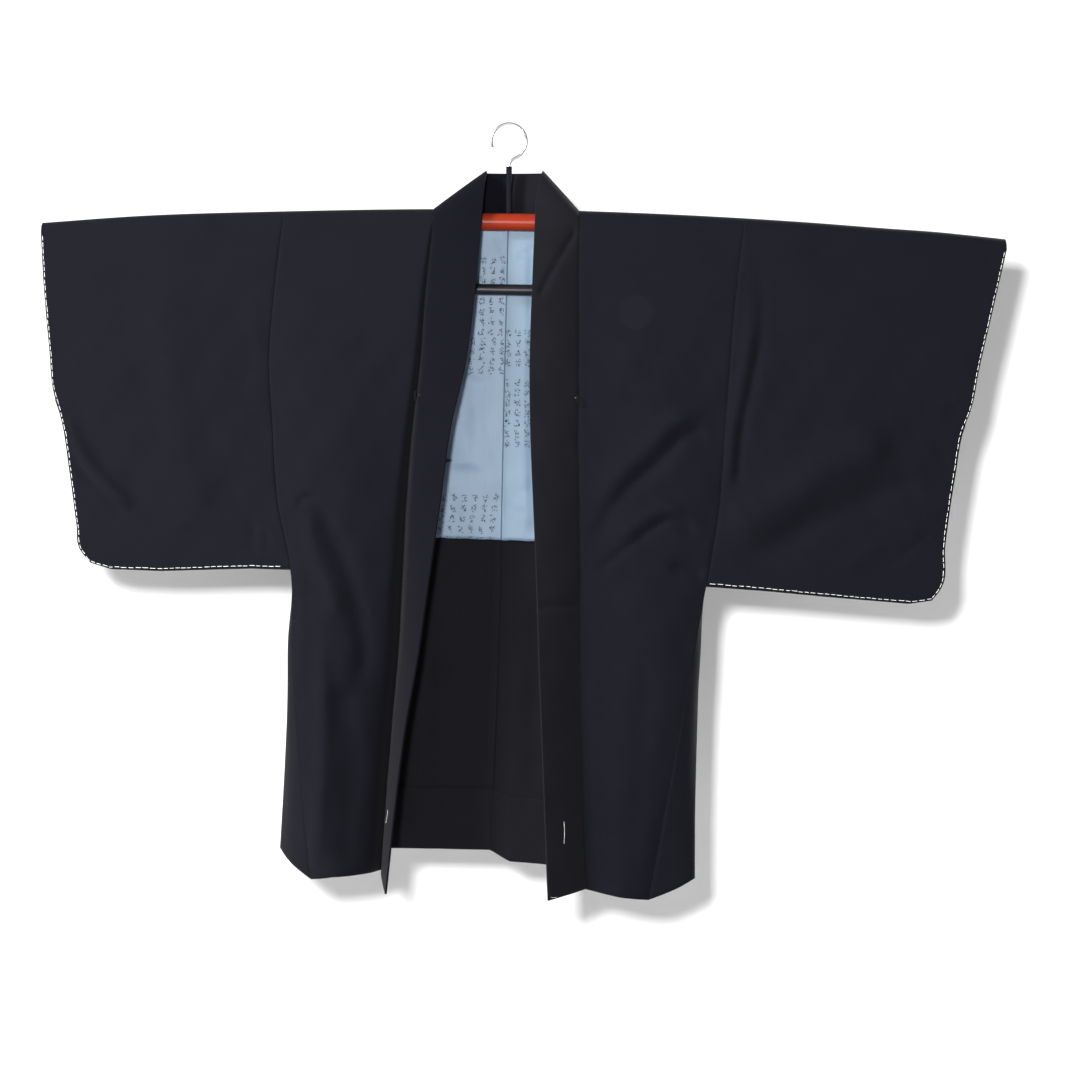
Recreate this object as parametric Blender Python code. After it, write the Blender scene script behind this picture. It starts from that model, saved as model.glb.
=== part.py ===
"""A haori jacket hanging flat on a kimono hanger.

Metres, +Z up. The jacket's front faces -Y. Left and right are the wearer's, so
the left half lies at +X. The origin is the inside top of the hanger's hook.
Every cloth piece is a surface of quads with a wall laid evenly about it.
"""
import math

import bmesh
import bpy
import numpy as np
from mathutils import Matrix, Vector

# Cloth walls and the gaps that keep sewn pieces apart
CLOTH = 0.0012
BAND_CLOTH = 0.0024
LINING_CLOTH = 0.0010
LAY_GAP = 0.0008
SEAM_GAP = 0.0005
BAND_SEAM_GAP = 0.0024
GUSSET_FRONT_GAP = 0.0013
GUSSET_BACK_GAP = 0.0020
GUSSET_TOP_GAP = 0.0030

# The fold over the hanger: radius of the cloth's middle, steps round it
FOLD_RADIUS = 0.0150
FOLD_STEPS = 6

# Levels down the jacket: 0 under the shoulder fold, 1 at the sleeve's foot, 2 at the hem
LINING_END = 0.897
FACING_START = 1.773
UPPER_LEVELS = [*np.linspace(0.0, LINING_END, 9), 0.965, 1.0]
LOWER_LEVELS = [*np.linspace(1.0, FACING_START, 7)[1:], 1.89, 2.0]
LEVELS = UPPER_LEVELS + LOWER_LEVELS

# Shares of the way across a panel: side edge 0, neck line 1, centre back seam 2
PANEL_ACROSS = [0.0, 0.06, 0.2, 0.4, 0.6, 0.8, 1.0]
NECK_ACROSS = [1.5, 1.86, 2.0]
ALLOWANCE_ACROSS = [1.86, 2.0]
ALLOWANCE_GAP = 0.006
SLEEVE_ACROSS = list(np.linspace(0.0, 1.0, 10))
BAND_ACROSS = list(np.linspace(0.0, 1.0, 5))

# Heights across the jacket, from cuff to cuff
SHOULDER = {
    "x": (-0.625, -0.500, -0.300, -0.100, 0.095, 0.310, 0.410, 0.500, 0.570, 0.666),
    "z": (-0.131, -0.122, -0.1155, -0.1125, -0.115, -0.1245, -0.131, -0.138, -0.143, -0.153),
}
SLEEVE_FOOT = {
    "x": (-0.580, -0.467, -0.347, -0.291, 0.263, 0.350, 0.430, 0.510, 0.575),
    "z": (-0.592, -0.596, -0.592, -0.5935, -0.616, -0.623, -0.631, -0.638, -0.644),
}
FRONT_HEM = {
    "x": (-0.263, -0.233, -0.172, 0.101, 0.148, 0.185),
    "z": (-1.007, -1.002, -1.001, -1.019, -1.028, -1.033),
}
BACK_HEM = {
    "x": (-0.310, -0.160, -0.027, 0.000, 0.050, 0.150, 0.248),
    "z": (-0.972, -0.976, -0.978, -0.992, -0.996, -1.000, -1.007),
}

# Each half of the jacket, by level: side seams, band seam and the band's free edge
RIGHT = {
    "sign": -1,
    "level": (0.0, 0.2, 0.4, 0.6, 0.8, 1.0, 1.25, 1.5, 1.75, 2.0),
    "front_side_x": (-0.302, -0.313, -0.320, -0.315, -0.309, -0.291, -0.288, -0.281, -0.273, -0.263),
    "front_side_y": (-0.015, -0.015, -0.015, -0.015, -0.015, -0.015, -0.017, -0.019, -0.021, -0.022),
    "back_side_x": (-0.302, -0.313, -0.320, -0.315, -0.309, -0.291, -0.294, -0.299, -0.304, -0.310),
    "back_side_y": (0.015, 0.015, 0.015, 0.015, 0.015, 0.015, 0.017, 0.021, 0.026, 0.030),
    "seam_x": (-0.100, -0.111, -0.119, -0.130, -0.138, -0.143, -0.148, -0.157, -0.165, -0.172),
    "seam_y": (-0.015, -0.017, -0.014, -0.009, -0.005, -0.002, 0.002, 0.005, 0.007, 0.008),
    "edge_x": (-0.034, -0.044, -0.056, -0.077, -0.090, -0.104, -0.119, -0.137, -0.150, -0.161),
    "edge_y": (-0.020, -0.036, -0.041, -0.051, -0.053, -0.058, -0.060, -0.061, -0.060, -0.060),
    "edge_drop": (0.0, 0.0, 0.0, 0.0, 0.002, 0.005, 0.009, 0.013, 0.017, 0.020),
    "front_belly": (0.0, 0.003, 0.007, 0.011, 0.014, 0.018, 0.022, 0.026, 0.029, 0.031),
    "back_belly": (0.0, 0.003, 0.006, 0.009, 0.010, 0.011, 0.012, 0.013, 0.014, 0.015),
    "centre_step": (0.0, 0.0, 0.0, 0.0, 0.0, 0.0, 0.0, 0.0, 0.0, 0.0),
    "collar_corner_x": -0.030,
}
LEFT = {
    "sign": 1,
    "level": RIGHT["level"],
    "front_side_x": (0.313, 0.302, 0.294, 0.287, 0.279, 0.263, 0.243, 0.224, 0.205, 0.185),
    "front_side_y": (-0.015, -0.015, -0.015, -0.015, -0.015, -0.015, -0.020, -0.026, -0.030, -0.032),
    "back_side_x": (0.313, 0.302, 0.294, 0.287, 0.279, 0.263, 0.256, 0.252, 0.249, 0.248),
    "back_side_y": (0.015, 0.015, 0.015, 0.015, 0.015, 0.015, 0.014, 0.011, 0.006, 0.002),
    "seam_x": (0.093, 0.092, 0.092, 0.092, 0.093, 0.093, 0.093, 0.094, 0.097, 0.101),
    "seam_y": (-0.015, -0.017, -0.018, -0.020, -0.022, -0.023, -0.025, -0.027, -0.029, -0.030),
    "edge_x": (0.036, 0.031, 0.028, 0.029, 0.033, 0.037, 0.040, 0.044, 0.048, 0.052),
    "edge_y": (-0.020, -0.040, -0.044, -0.048, -0.056, -0.062, -0.068, -0.073, -0.077, -0.079),
    "edge_drop": (0.0, 0.0, 0.0, 0.0, 0.0, 0.001, 0.002, 0.004, 0.006, 0.008),
    "front_belly": (0.0, 0.003, 0.006, 0.009, 0.011, 0.013, 0.014, 0.015, 0.016, 0.016),
    "back_belly": (0.0, 0.003, 0.006, 0.009, 0.010, 0.011, 0.013, 0.015, 0.017, 0.018),
    "centre_step": (0.0, 0.0, 0.0, 0.0, 0.0, 0.0, 0.002, 0.007, 0.012, 0.015),
    "collar_corner_x": 0.045,
}
CENTRE_BACK = {
    "level": (0.0, 0.5, 1.0, 1.5, 2.0),
    "x": (-0.001, -0.007, -0.012, -0.018, -0.026),
    "y": (0.015, 0.024, 0.034, 0.043, 0.052),
}
CENTRE_STEP_WIDTH = 0.028

# How the bellies lie: the front's is fullest near the side, the back's is shallow
FRONT_BELLY_AT_SIDE = 1.2
FRONT_BELLY_FALL = 0.6
BACK_BELLY_SHARE = 0.5
# Levels over which folds and bellies set in below the hanger, and how fast folds die
# away towards the band seam, the cuff and the sleeve's foot
SETTLE_LEVELS = 0.35
FOLD_FADE_ACROSS = 4
FOLD_FADE_FOOT = 6

# Sleeves: outer edge by share of the way down, the cuff's open part and the round corner
RIGHT_SLEEVE = {
    "down": (0.0, 0.14, 0.34, 0.49, 0.54, 0.72, 0.88, 0.96, 1.0),
    "outer_x": (-0.624, -0.621, -0.614, -0.607, -0.600, -0.587, -0.578, -0.573, -0.560),
    "outer_y": (0.015, 0.014, 0.011, 0.009, 0.008, 0.006, 0.005, 0.005, 0.004),
}
LEFT_SLEEVE = {
    "down": (0.0, 0.17, 0.35, 0.45, 0.52, 0.63, 0.84, 0.96, 1.0),
    "outer_x": (0.664, 0.646, 0.627, 0.618, 0.606, 0.597, 0.583, 0.578, 0.566),
    "outer_y": (0.015, 0.014, 0.011, 0.009, 0.008, 0.006, 0.005, 0.005, 0.004),
}
CUFF_OPEN_DOWN = 0.50
SLEEVE_BELLY = 0.004
CORNER_LIFT = 0.007
CORNER_REACH = 0.10
CORNER_SHARPNESS = 8

# Largest folds, as soft ridges (positive) or troughs between two points of a layer
FOLD_COLUMNS = ("from_x", "from_z", "to_x", "to_z", "width", "height")
FRONT_FOLDS = (
    (0.306, -0.587, 0.527, -0.443, 0.030, -0.006),
    (0.337, -0.200, 0.312, -0.520, 0.020, 0.003),
    (0.262, -0.416, 0.110, -0.563, 0.022, -0.005),
    (0.247, -0.548, 0.113, -0.600, 0.020, -0.005),
    (-0.255, -0.496, -0.219, -0.579, 0.022, -0.005),
    (-0.219, -0.579, -0.240, -0.900, 0.026, -0.006),
    (-0.585, -0.443, -0.498, -0.523, 0.022, 0.004),
)
BACK_FOLDS = (
    (0.280, -0.520, 0.420, -0.300, 0.030, 0.005),
    (-0.300, -0.540, -0.450, -0.330, 0.030, 0.005),
    (0.180, -0.640, 0.210, -0.980, 0.026, 0.006),
    (-0.190, -0.640, -0.225, -0.960, 0.026, 0.006),
)

# Collar band at the neck
COLLAR_TOP_Z = -0.0625
COLLAR_TOP_Y = 0.019
COLLAR_LEAN = 0.004
NECK_LIFT = 0.028
NECK_LIFT_LEVELS = 0.22
NECK_LIFT_CURVE = 1.5
NECK_STEPS = 4
BAND_BOW = 0.003

# Loops for the front ties
LOOP_LEVEL = 0.50
LOOP_RADIUS = 0.006
LOOP_CORD = 0.0011
LOOP_CLEARANCE = 0.0026

# Hanger
TUBE_RADIUS = 0.0115
TUBE_HALF = 0.200
ARM_RADIUS = 0.0095
ARM_GAP = 0.0010
ARM_END = {"right": -0.590, "left": 0.625}
BAR_RADIUS = 0.0072
BAR_HALF = 0.170
BAR_Z = -0.2204
BAR_SLOPE = -0.0175
LINK_RADIUS = 0.003
LINK_X = 0.150
POST_RADIUS = 0.004
POST_TOP_Z = -0.056
HOOK_WIRE = 0.002
HOOK_RADIUS = 0.0235
HOOK_START = -35
HOOK_END = 200
HOOK_NECK_REACH = 0.45
METAL_GAP = 0.0004
REST_GAP = 0.0012

NAVY = (0.018, 0.018, 0.026)
NAVY_BAND = (0.014, 0.014, 0.020)
NAVY_FACING = (0.012, 0.012, 0.017)
PALE_BLUE = (0.250, 0.350, 0.460)
ORANGE = (0.420, 0.060, 0.026)
BLACK = (0.012, 0.012, 0.016)
STEEL = (0.560, 0.570, 0.580)


def clear_scene():
    for item in list(bpy.data.objects):
        bpy.data.objects.remove(item, do_unlink=True)


def principled(name, colour, roughness, metallic=0.0):
    material = bpy.data.materials.new(name)
    material.use_nodes = True
    shader = material.node_tree.nodes["Principled BSDF"]
    shader.inputs["Base Color"].default_value = (*colour, 1.0)
    shader.inputs["Roughness"].default_value = roughness
    shader.inputs["Metallic"].default_value = metallic
    return material


def smooth(at, keys, values):
    """Value at a key on a smooth curve through the given rows, held flat past the ends."""
    keys = np.array(keys)
    values = np.array(values)
    at = float(np.clip(at, keys[0], keys[-1]))
    slopes = np.gradient(values, keys)
    row = int(np.clip(np.searchsorted(keys, at) - 1, 0, len(keys) - 2))
    span = keys[row + 1] - keys[row]
    t = (at - keys[row]) / span
    start = (2 * t ** 3 - 3 * t ** 2 + 1) * values[row]
    start += (t ** 3 - 2 * t ** 2 + t) * span * slopes[row]
    end = (3 * t ** 2 - 2 * t ** 3) * values[row + 1]
    end += (t ** 3 - t ** 2) * span * slopes[row + 1]
    return float(start + end)


def mix(a, b, share):
    return a + (b - a) * share


def by_level(half, column, level):
    return smooth(level, half["level"], half[column])


def fold_relief(folds, x, z):
    """Sum of the soft folds at one place of a layer."""
    relief = 0.0
    for row in folds:
        fold = dict(zip(FOLD_COLUMNS, row))
        start = np.array([fold["from_x"], fold["from_z"]])
        along = np.array([fold["to_x"], fold["to_z"]]) - start
        share = float(np.dot(np.array([x, z]) - start, along) / np.dot(along, along))
        nearest = start + along * np.clip(share, 0.0, 1.0)
        distance = math.dist((x, z), nearest)
        relief += fold["height"] * math.exp(-(distance / fold["width"]) ** 2)
    return relief


def arc_z(x):
    """Height of the centre of the shoulder fold."""
    return smooth(x, SHOULDER["x"], SHOULDER["z"]) - CLOTH / 2 - FOLD_RADIUS


def fall_z(x, level, hem):
    foot = float(np.interp(x, SLEEVE_FOOT["x"], SLEEVE_FOOT["z"]))
    if level <= 1.0:
        return mix(arc_z(x), foot, level)
    return mix(foot, float(np.interp(x, hem["x"], hem["z"])), level - 1.0)


def settle(level):
    """Folds and bellies start below the shoulder, where the cloth leaves the hanger."""
    return float(np.clip(level / SETTLE_LEVELS, 0.0, 1.0)) ** 2


def front_point(half, level, across):
    """Middle of the front cloth, from the side edge (0) to the band seam (1)."""
    x = mix(by_level(half, "front_side_x", level), by_level(half, "seam_x", level), across)
    z = fall_z(x, level, FRONT_HEM)
    y = mix(by_level(half, "front_side_y", level), by_level(half, "seam_y", level), across)
    fullness = math.sin(math.pi * across) * (FRONT_BELLY_AT_SIDE - FRONT_BELLY_FALL * across)
    y -= by_level(half, "front_belly", level) * fullness
    y -= fold_relief(FRONT_FOLDS, x, z) * settle(level) * (1.0 - across ** FOLD_FADE_ACROSS)
    return Vector((x, y, z))


def back_point(half, level, across):
    """Middle of the back cloth: side edge 0, neck line 1, centre back seam 2."""
    side_x = by_level(half, "back_side_x", level)
    neck_x = half["seam_x"][0]
    centre_x = smooth(level, CENTRE_BACK["level"], CENTRE_BACK["x"])
    x = mix(side_x, neck_x, across) if across <= 1.0 else mix(neck_x, centre_x, across - 1.0)
    z = fall_z(x, level, BACK_HEM)
    share = (x - side_x) / (centre_x - side_x)
    centre_y = smooth(level, CENTRE_BACK["level"], CENTRE_BACK["y"])
    y = mix(by_level(half, "back_side_y", level), centre_y, math.sin(share * math.pi / 2))
    y += by_level(half, "back_belly", level) * math.sin(math.pi * share) * BACK_BELLY_SHARE
    y += fold_relief(BACK_FOLDS, x, z) * settle(level) * math.sin(math.pi * min(share, 0.5))
    step = float(np.clip((x - centre_x) / CENTRE_STEP_WIDTH, 0.0, 1.0))
    y -= by_level(half, "centre_step", level) * (3 * step ** 2 - 2 * step ** 3)
    return Vector((x, y, z))


def fold_point(x, turn):
    """Middle of the cloth on the shoulder fold; turn runs from 0 in front to 1 behind."""
    angle = math.pi * turn
    return Vector((x, -FOLD_RADIUS * math.cos(angle), arc_z(x) + FOLD_RADIUS * math.sin(angle)))


def sleeve_point(half, sleeve, face, down, across):
    """Middle of a sleeve layer (face -1 front, +1 back), armhole 0 to outer edge 1."""
    side = "front_side" if face < 0 else "back_side"
    inner_x = by_level(half, side + "_x", down) + half["sign"] * SEAM_GAP
    outer_x = smooth(down, sleeve["down"], sleeve["outer_x"])
    x = mix(inner_x, outer_x, across)
    lift = CORNER_LIFT * max(0.0, 1.0 - (1.0 - across) / CORNER_REACH) * down ** CORNER_SHARPNESS
    z = fall_z(x, down, FRONT_HEM) + lift
    outer_y = smooth(down, sleeve["down"], sleeve["outer_y"])
    y = mix(abs(by_level(half, side + "_y", down)), outer_y, across)
    y += SLEEVE_BELLY * math.sin(math.pi * across) * math.sin(math.pi * down)
    folds = FRONT_FOLDS if face < 0 else BACK_FOLDS
    fade = (1.0 - across ** FOLD_FADE_ACROSS) * (1.0 - down ** FOLD_FADE_FOOT)
    y += fold_relief(folds, x, z) * settle(down) * fade
    return Vector((x, face * y, z))


def grid_faces(rows, columns, used=None):
    """Quads of a grid, all of them or only the used cells, as point numbers."""
    faces = []
    for row in range(rows - 1):
        for column in range(columns - 1):
            if used is None or used(row, column):
                corner = row * columns + column
                faces.append((corner, corner + 1, corner + columns + 1, corner + columns))
    return faces


def corner_normals(points, faces):
    normals = [Vector() for _ in points]
    for face in faces:
        a, b, c, d = (points[i] for i in face)
        normal = (c - a).cross(d - b)
        for i in face:
            normals[i] += normal
    return [normal.normalized() for normal in normals]


def open_edges(faces):
    sides = [(face[i], face[(i + 1) % 4]) for face in faces for i in range(4)]
    known = set(sides)
    return [(a, b) for a, b in sides if (b, a) not in known]


def shell(name, points, faces, wall, material):
    """Closed solid with the wall laid half on each side of the quads."""
    normals = corner_normals(points, faces)
    kept = sorted({i for face in faces for i in face})
    place = {old: new for new, old in enumerate(kept)}
    count = len(kept)
    outer = [points[i] + normals[i] * (wall / 2) for i in kept]
    inner = [points[i] - normals[i] * (wall / 2) for i in kept]
    skin = [[place[i] for i in face] for face in faces]
    skin += [[place[i] + count for i in reversed(face)] for face in faces]
    for a, b in open_edges(faces):
        skin.append([place[b], place[a], place[a] + count, place[b] + count])
    mesh = bpy.data.meshes.new(name)
    mesh.from_pydata(outer + inner, [], skin)
    mesh.validate()
    finish_round(mesh)
    return place_object(name, mesh, material)


def finish_round(mesh):
    shape = bmesh.new()
    shape.from_mesh(mesh)
    bmesh.ops.recalc_face_normals(shape, faces=shape.faces[:])
    shape.to_mesh(mesh)
    shape.free()
    mesh.shade_smooth()
    mesh.set_sharp_from_angle(angle=math.radians(50))


def place_object(name, data, material):
    data.materials.append(material)
    item = bpy.data.objects.new(name, data)
    bpy.context.scene.collection.objects.link(item)
    return item


def panel(name, rows, wall, material, used=None):
    """Shell over a full grid given as rows of points."""
    points = [point for row in rows for point in row]
    faces = grid_faces(len(rows), len(rows[0]), used)
    return shell(name, points, faces, wall, material)


def inset_centre(half, point, across):
    """Keep the two halves apart at the centre back seam."""
    if across >= 2.0:
        point.x += half["sign"] * SEAM_GAP / 2
    return point


def body_half(name, half, material):
    """One cut from the front hem over the shoulder to the back hem, with the neck cut out."""
    across = PANEL_ACROSS + NECK_ACROSS
    rows = []
    for level in reversed(LEVELS):
        row = [front_point(half, level, min(share, 1.0)) for share in across]
        rows.append(row)
    for step in range(1, FOLD_STEPS):
        row = [fold_point(front_point(half, 0.0, min(s, 1.0)).x, step / FOLD_STEPS) for s in across]
        rows.append(row)
    neck_row = len(rows)
    for level in LEVELS:
        rows.append([inset_centre(half, back_point(half, level, s), s) for s in across])
    neck_column = len(PANEL_ACROSS) - 1
    return panel(name, rows, CLOTH, material,
                 lambda row, column: column < neck_column or row >= neck_row)


def sleeve(name, half, table, material):
    """A bag folded at the top, closed at the foot and below the cuff's open part."""
    points = []
    for down in reversed(UPPER_LEVELS):
        points += [sleeve_point(half, table, -1, down, s) for s in SLEEVE_ACROSS]
    for step in range(1, FOLD_STEPS):
        crown = [sleeve_point(half, table, -1, 0.0, s).x for s in SLEEVE_ACROSS]
        points += [fold_point(x, step / FOLD_STEPS) for x in crown]
    for down in UPPER_LEVELS:
        points += [sleeve_point(half, table, 1, down, s) for s in SLEEVE_ACROSS]
    columns = len(SLEEVE_ACROSS)
    rows = len(points) // columns
    faces = grid_faces(rows, columns)
    front_foot, back_foot = 0, (rows - 1) * columns
    for column in range(columns - 1):
        faces.append((back_foot + column, back_foot + column + 1,
                      front_foot + column + 1, front_foot + column))
    closed = sum(level >= CUFF_OPEN_DOWN for level in UPPER_LEVELS)
    for step in range(closed - 1):
        front = step * columns + columns - 1
        back = (rows - 1 - step) * columns + columns - 1
        faces.append((front, back, back - columns, front + columns))
    return shell(name, points, faces, CLOTH, material)


def gusset(name, half, material):
    """The tapered strip between the front and back side edges, below the sleeve."""
    rows = []
    for level in LEVELS[len(UPPER_LEVELS) - 1:]:
        front = front_point(half, level, 0.0)
        back = back_point(half, level, 0.0)
        if level == 1.0:
            front.z -= GUSSET_TOP_GAP
            back.z -= GUSSET_TOP_GAP
        way = (back - front).normalized()
        front = front + way * GUSSET_FRONT_GAP
        back = back - way * GUSSET_BACK_GAP
        rows.append([front.lerp(back, share) for share in (0.0, 0.5, 1.0)])
    return panel(name, rows, CLOTH, material)


def band_edge(half, level):
    """Free edge of the band in front, lifted where it nears the neck."""
    x = by_level(half, "edge_x", level)
    seam_x = by_level(half, "seam_x", level)
    z = fall_z(seam_x, level, FRONT_HEM) - by_level(half, "edge_drop", level)
    z += NECK_LIFT * max(0.0, 1.0 - level / NECK_LIFT_LEVELS) ** NECK_LIFT_CURVE
    return Vector((x, by_level(half, "edge_y", level), z))


def collar_edge(half, turn):
    """Free edge of the band over the shoulder, from the front (0) to the back (1)."""
    front = band_edge(half, 0.0)
    rise = math.sin(math.pi * min(turn, 0.5))
    x = mix(front.x, half["collar_corner_x"], rise)
    y = mix(front.y, COLLAR_TOP_Y - COLLAR_LEAN, (1.0 - math.cos(math.pi * turn)) / 2)
    return Vector((x, y, mix(front.z, COLLAR_TOP_Z, rise)))


def band_row(seam, edge):
    """Points across the band, bowed a little towards the front, clear of the seam."""
    way = edge - seam
    start = seam + way.normalized() * BAND_SEAM_GAP
    row = []
    for share in BAND_ACROSS:
        point = start.lerp(edge, share)
        point.y -= BAND_BOW * math.sin(math.pi * share)
        row.append(point)
    return row


def band(name, half, other, material):
    """Half of the collar band: up the front, over the shoulder, to the centre back."""
    rows = [band_row(front_point(half, level, 1.0), band_edge(half, level))
            for level in reversed(LEVELS)]
    neck_x = half["seam_x"][0]
    for step in range(1, FOLD_STEPS):
        turn = step / FOLD_STEPS
        rows.append(band_row(fold_point(neck_x, turn), collar_edge(half, turn)))
    corner = collar_edge(half, 1.0)
    middle_x = (half["collar_corner_x"] + other["collar_corner_x"]) / 2
    for step in range(NECK_STEPS + 1):
        share = step / NECK_STEPS
        seam = back_point(half, 0.0, 1.0 + share)
        edge = Vector((mix(corner.x, middle_x, share), mix(corner.y, COLLAR_TOP_Y, share),
                       COLLAR_TOP_Z))
        row = band_row(seam, edge)
        if step == NECK_STEPS:
            for point in row:
                point.x += half["sign"] * SEAM_GAP / 2
        rows.append(row)
    return panel(name, rows, BAND_CLOTH, material)


def laid_inside(half, level, across, depth):
    """A point of the back cloth moved inwards, for a layer that lies on it."""
    point = inset_centre(half, back_point(half, level, across), across)
    point.y -= depth
    return point


def back_layer(name, half, levels, across, wall, material):
    depth = CLOTH / 2 + LAY_GAP + wall / 2
    rows = [[laid_inside(half, level, share, depth) for share in across] for level in levels]
    return panel(name, rows, wall, material)


def lining(name, half, material):
    levels = [level for level in LEVELS if level <= LINING_END + 1e-6]
    return back_layer(name, half, levels, PANEL_ACROSS[1:] + NECK_ACROSS, LINING_CLOTH, material)


def hem_facing(name, half, material):
    levels = [level for level in LEVELS if level >= FACING_START - 1e-6]
    return back_layer(name, half, levels, PANEL_ACROSS[1:] + NECK_ACROSS, CLOTH, material)


def seam_allowance(name, half, material):
    """The turned edge beside the centre back seam, between the lining and the hem facing."""
    levels = [level for level in LEVELS if LINING_END < level < FACING_START]
    levels = [LINING_END + ALLOWANCE_GAP, *levels[1:], FACING_START - ALLOWANCE_GAP]
    return back_layer(name, half, levels, ALLOWANCE_ACROSS, CLOTH, material)


def cord(name, path, radius, material, sides=1):
    """A round cord or wire along a path, with closed ends."""
    curve = bpy.data.curves.new(name, "CURVE")
    curve.dimensions = "3D"
    curve.bevel_depth = radius
    curve.bevel_resolution = sides
    curve.use_fill_caps = True
    spline = curve.splines.new("POLY")
    spline.points.add(len(path) - 1)
    for point, place in zip(spline.points, path):
        point.co = (*place, 1.0)
    return place_object(name, curve, material)


def tie_loop(name, half, material):
    """Half ring of cord standing forward of the band seam."""
    root = front_point(half, LOOP_LEVEL, 1.0)
    root.y -= LOOP_CLEARANCE + LOOP_CORD
    path = []
    for angle in np.linspace(0.0, math.pi, 9):
        path.append((root.x, root.y - LOOP_RADIUS * math.sin(angle),
                     root.z + LOOP_RADIUS * math.cos(angle)))
    return cord(name, path, LOOP_CORD, material)


def rod(name, start, end, radius, material, sides=24):
    """Solid round rod between two points."""
    start, end = Vector(start), Vector(end)
    mesh = bpy.data.meshes.new(name)
    shape = bmesh.new()
    bmesh.ops.create_cone(shape, cap_ends=True, segments=sides, radius1=radius,
                          radius2=radius, depth=(end - start).length)
    shape.to_mesh(mesh)
    shape.free()
    mesh.shade_smooth()
    mesh.set_sharp_from_angle(angle=math.radians(50))
    item = place_object(name, mesh, material)
    turn = (end - start).to_track_quat("Z", "Y").to_matrix().to_4x4()
    item.matrix_world = Matrix.Translation((start + end) / 2) @ turn
    return item


def rest_z(x, radius):
    """Height of a rod's axis that lies just under the shoulder cloth."""
    return smooth(x, SHOULDER["x"], SHOULDER["z"]) - CLOTH - REST_GAP - radius


def tube_z(x):
    ends = (rest_z(-TUBE_HALF, TUBE_RADIUS), rest_z(TUBE_HALF, TUBE_RADIUS))
    return mix(*ends, (x + TUBE_HALF) / (2 * TUBE_HALF))


def bar_z(x):
    return BAR_Z + BAR_SLOPE * x


def hook_path(start_z):
    """Wire from the post to a round hook whose inside top is the origin."""
    centre_z = HOOK_WIRE - HOOK_RADIUS
    ring = []
    for degrees in np.linspace(HOOK_START, HOOK_END, 22):
        angle = math.radians(degrees)
        ring.append(Vector((HOOK_RADIUS * math.cos(angle), 0.0,
                            centre_z + HOOK_RADIUS * math.sin(angle))))
    root = Vector((0.0, 0.0, start_z))
    reach = (ring[0] - root).length * HOOK_NECK_REACH
    above = root + Vector((0.0, 0.0, reach))
    before = ring[0] - (ring[1] - ring[0]).normalized() * reach
    neck = []
    for t in np.linspace(0.0, 1.0, 8)[:-1]:
        point = root * (1 - t) ** 3 + above * (3 * t * (1 - t) ** 2)
        point += before * (3 * t ** 2 * (1 - t)) + ring[0] * t ** 3
        neck.append(point)
    return neck + ring


def hanger():
    orange = principled("hanger_tube", ORANGE, 0.18)
    rod("hanger_tube", (-TUBE_HALF, 0.0, tube_z(-TUBE_HALF)), (TUBE_HALF, 0.0, tube_z(TUBE_HALF)),
        TUBE_RADIUS, orange)
    for side, tip_x in ARM_END.items():
        root_x = math.copysign(TUBE_HALF, tip_x)
        start = (root_x + math.copysign(ARM_GAP, tip_x), 0.0, tube_z(root_x))
        rod(f"hanger_arm_{side}", start, (tip_x, 0.0, rest_z(tip_x, ARM_RADIUS)),
            ARM_RADIUS, principled(f"hanger_arm_{side}", BLACK, 0.3), 16)
        link_x = math.copysign(LINK_X, tip_x)
        rod(f"hanger_link_{side}",
            (link_x, 0.0, bar_z(link_x) + BAR_RADIUS + METAL_GAP),
            (link_x, 0.0, tube_z(link_x) - TUBE_RADIUS - METAL_GAP),
            LINK_RADIUS, principled(f"hanger_link_{side}", BLACK, 0.3), 10)
    rod("hanger_bar", (-BAR_HALF, 0.0, bar_z(-BAR_HALF)), (BAR_HALF, 0.0, bar_z(BAR_HALF)),
        BAR_RADIUS, principled("hanger_bar", BLACK, 0.25), 20)
    rod("hanger_post", (0.0, 0.0, tube_z(0.0) + TUBE_RADIUS + METAL_GAP),
        (0.0, 0.0, POST_TOP_Z), POST_RADIUS, principled("hanger_post", BLACK, 0.3), 14)
    cord("hanger_hook", hook_path(POST_TOP_Z + METAL_GAP), HOOK_WIRE,
         principled("hanger_hook", STEEL, 0.25, 1.0))


def jacket():
    halves = {"right": (RIGHT, LEFT, RIGHT_SLEEVE), "left": (LEFT, RIGHT, LEFT_SLEEVE)}
    for side, (half, other, sleeve_table) in halves.items():
        body_half(f"body_{side}", half, principled(f"body_{side}", NAVY, 0.75))
        sleeve(f"sleeve_{side}", half, sleeve_table, principled(f"sleeve_{side}", NAVY, 0.75))
        gusset(f"gusset_{side}", half, principled(f"gusset_{side}", NAVY, 0.75))
        band(f"band_{side}", half, other, principled(f"band_{side}", NAVY_BAND, 0.75))
        lining(f"lining_{side}", half, principled(f"lining_{side}", PALE_BLUE, 0.4))
        hem_facing(f"hem_facing_{side}", half,
                   principled(f"hem_facing_{side}", NAVY_FACING, 0.8))
        tie_loop(f"tie_loop_{side}", half, principled(f"tie_loop_{side}", NAVY, 0.8))
    seam_allowance("seam_allowance", RIGHT, principled("seam_allowance", NAVY_FACING, 0.8))


def build():
    clear_scene()
    jacket()
    hanger()


build()
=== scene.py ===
import math
import random

import bpy
import numpy as np
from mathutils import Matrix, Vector
from mathutils.bvhtree import BVHTree


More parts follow.
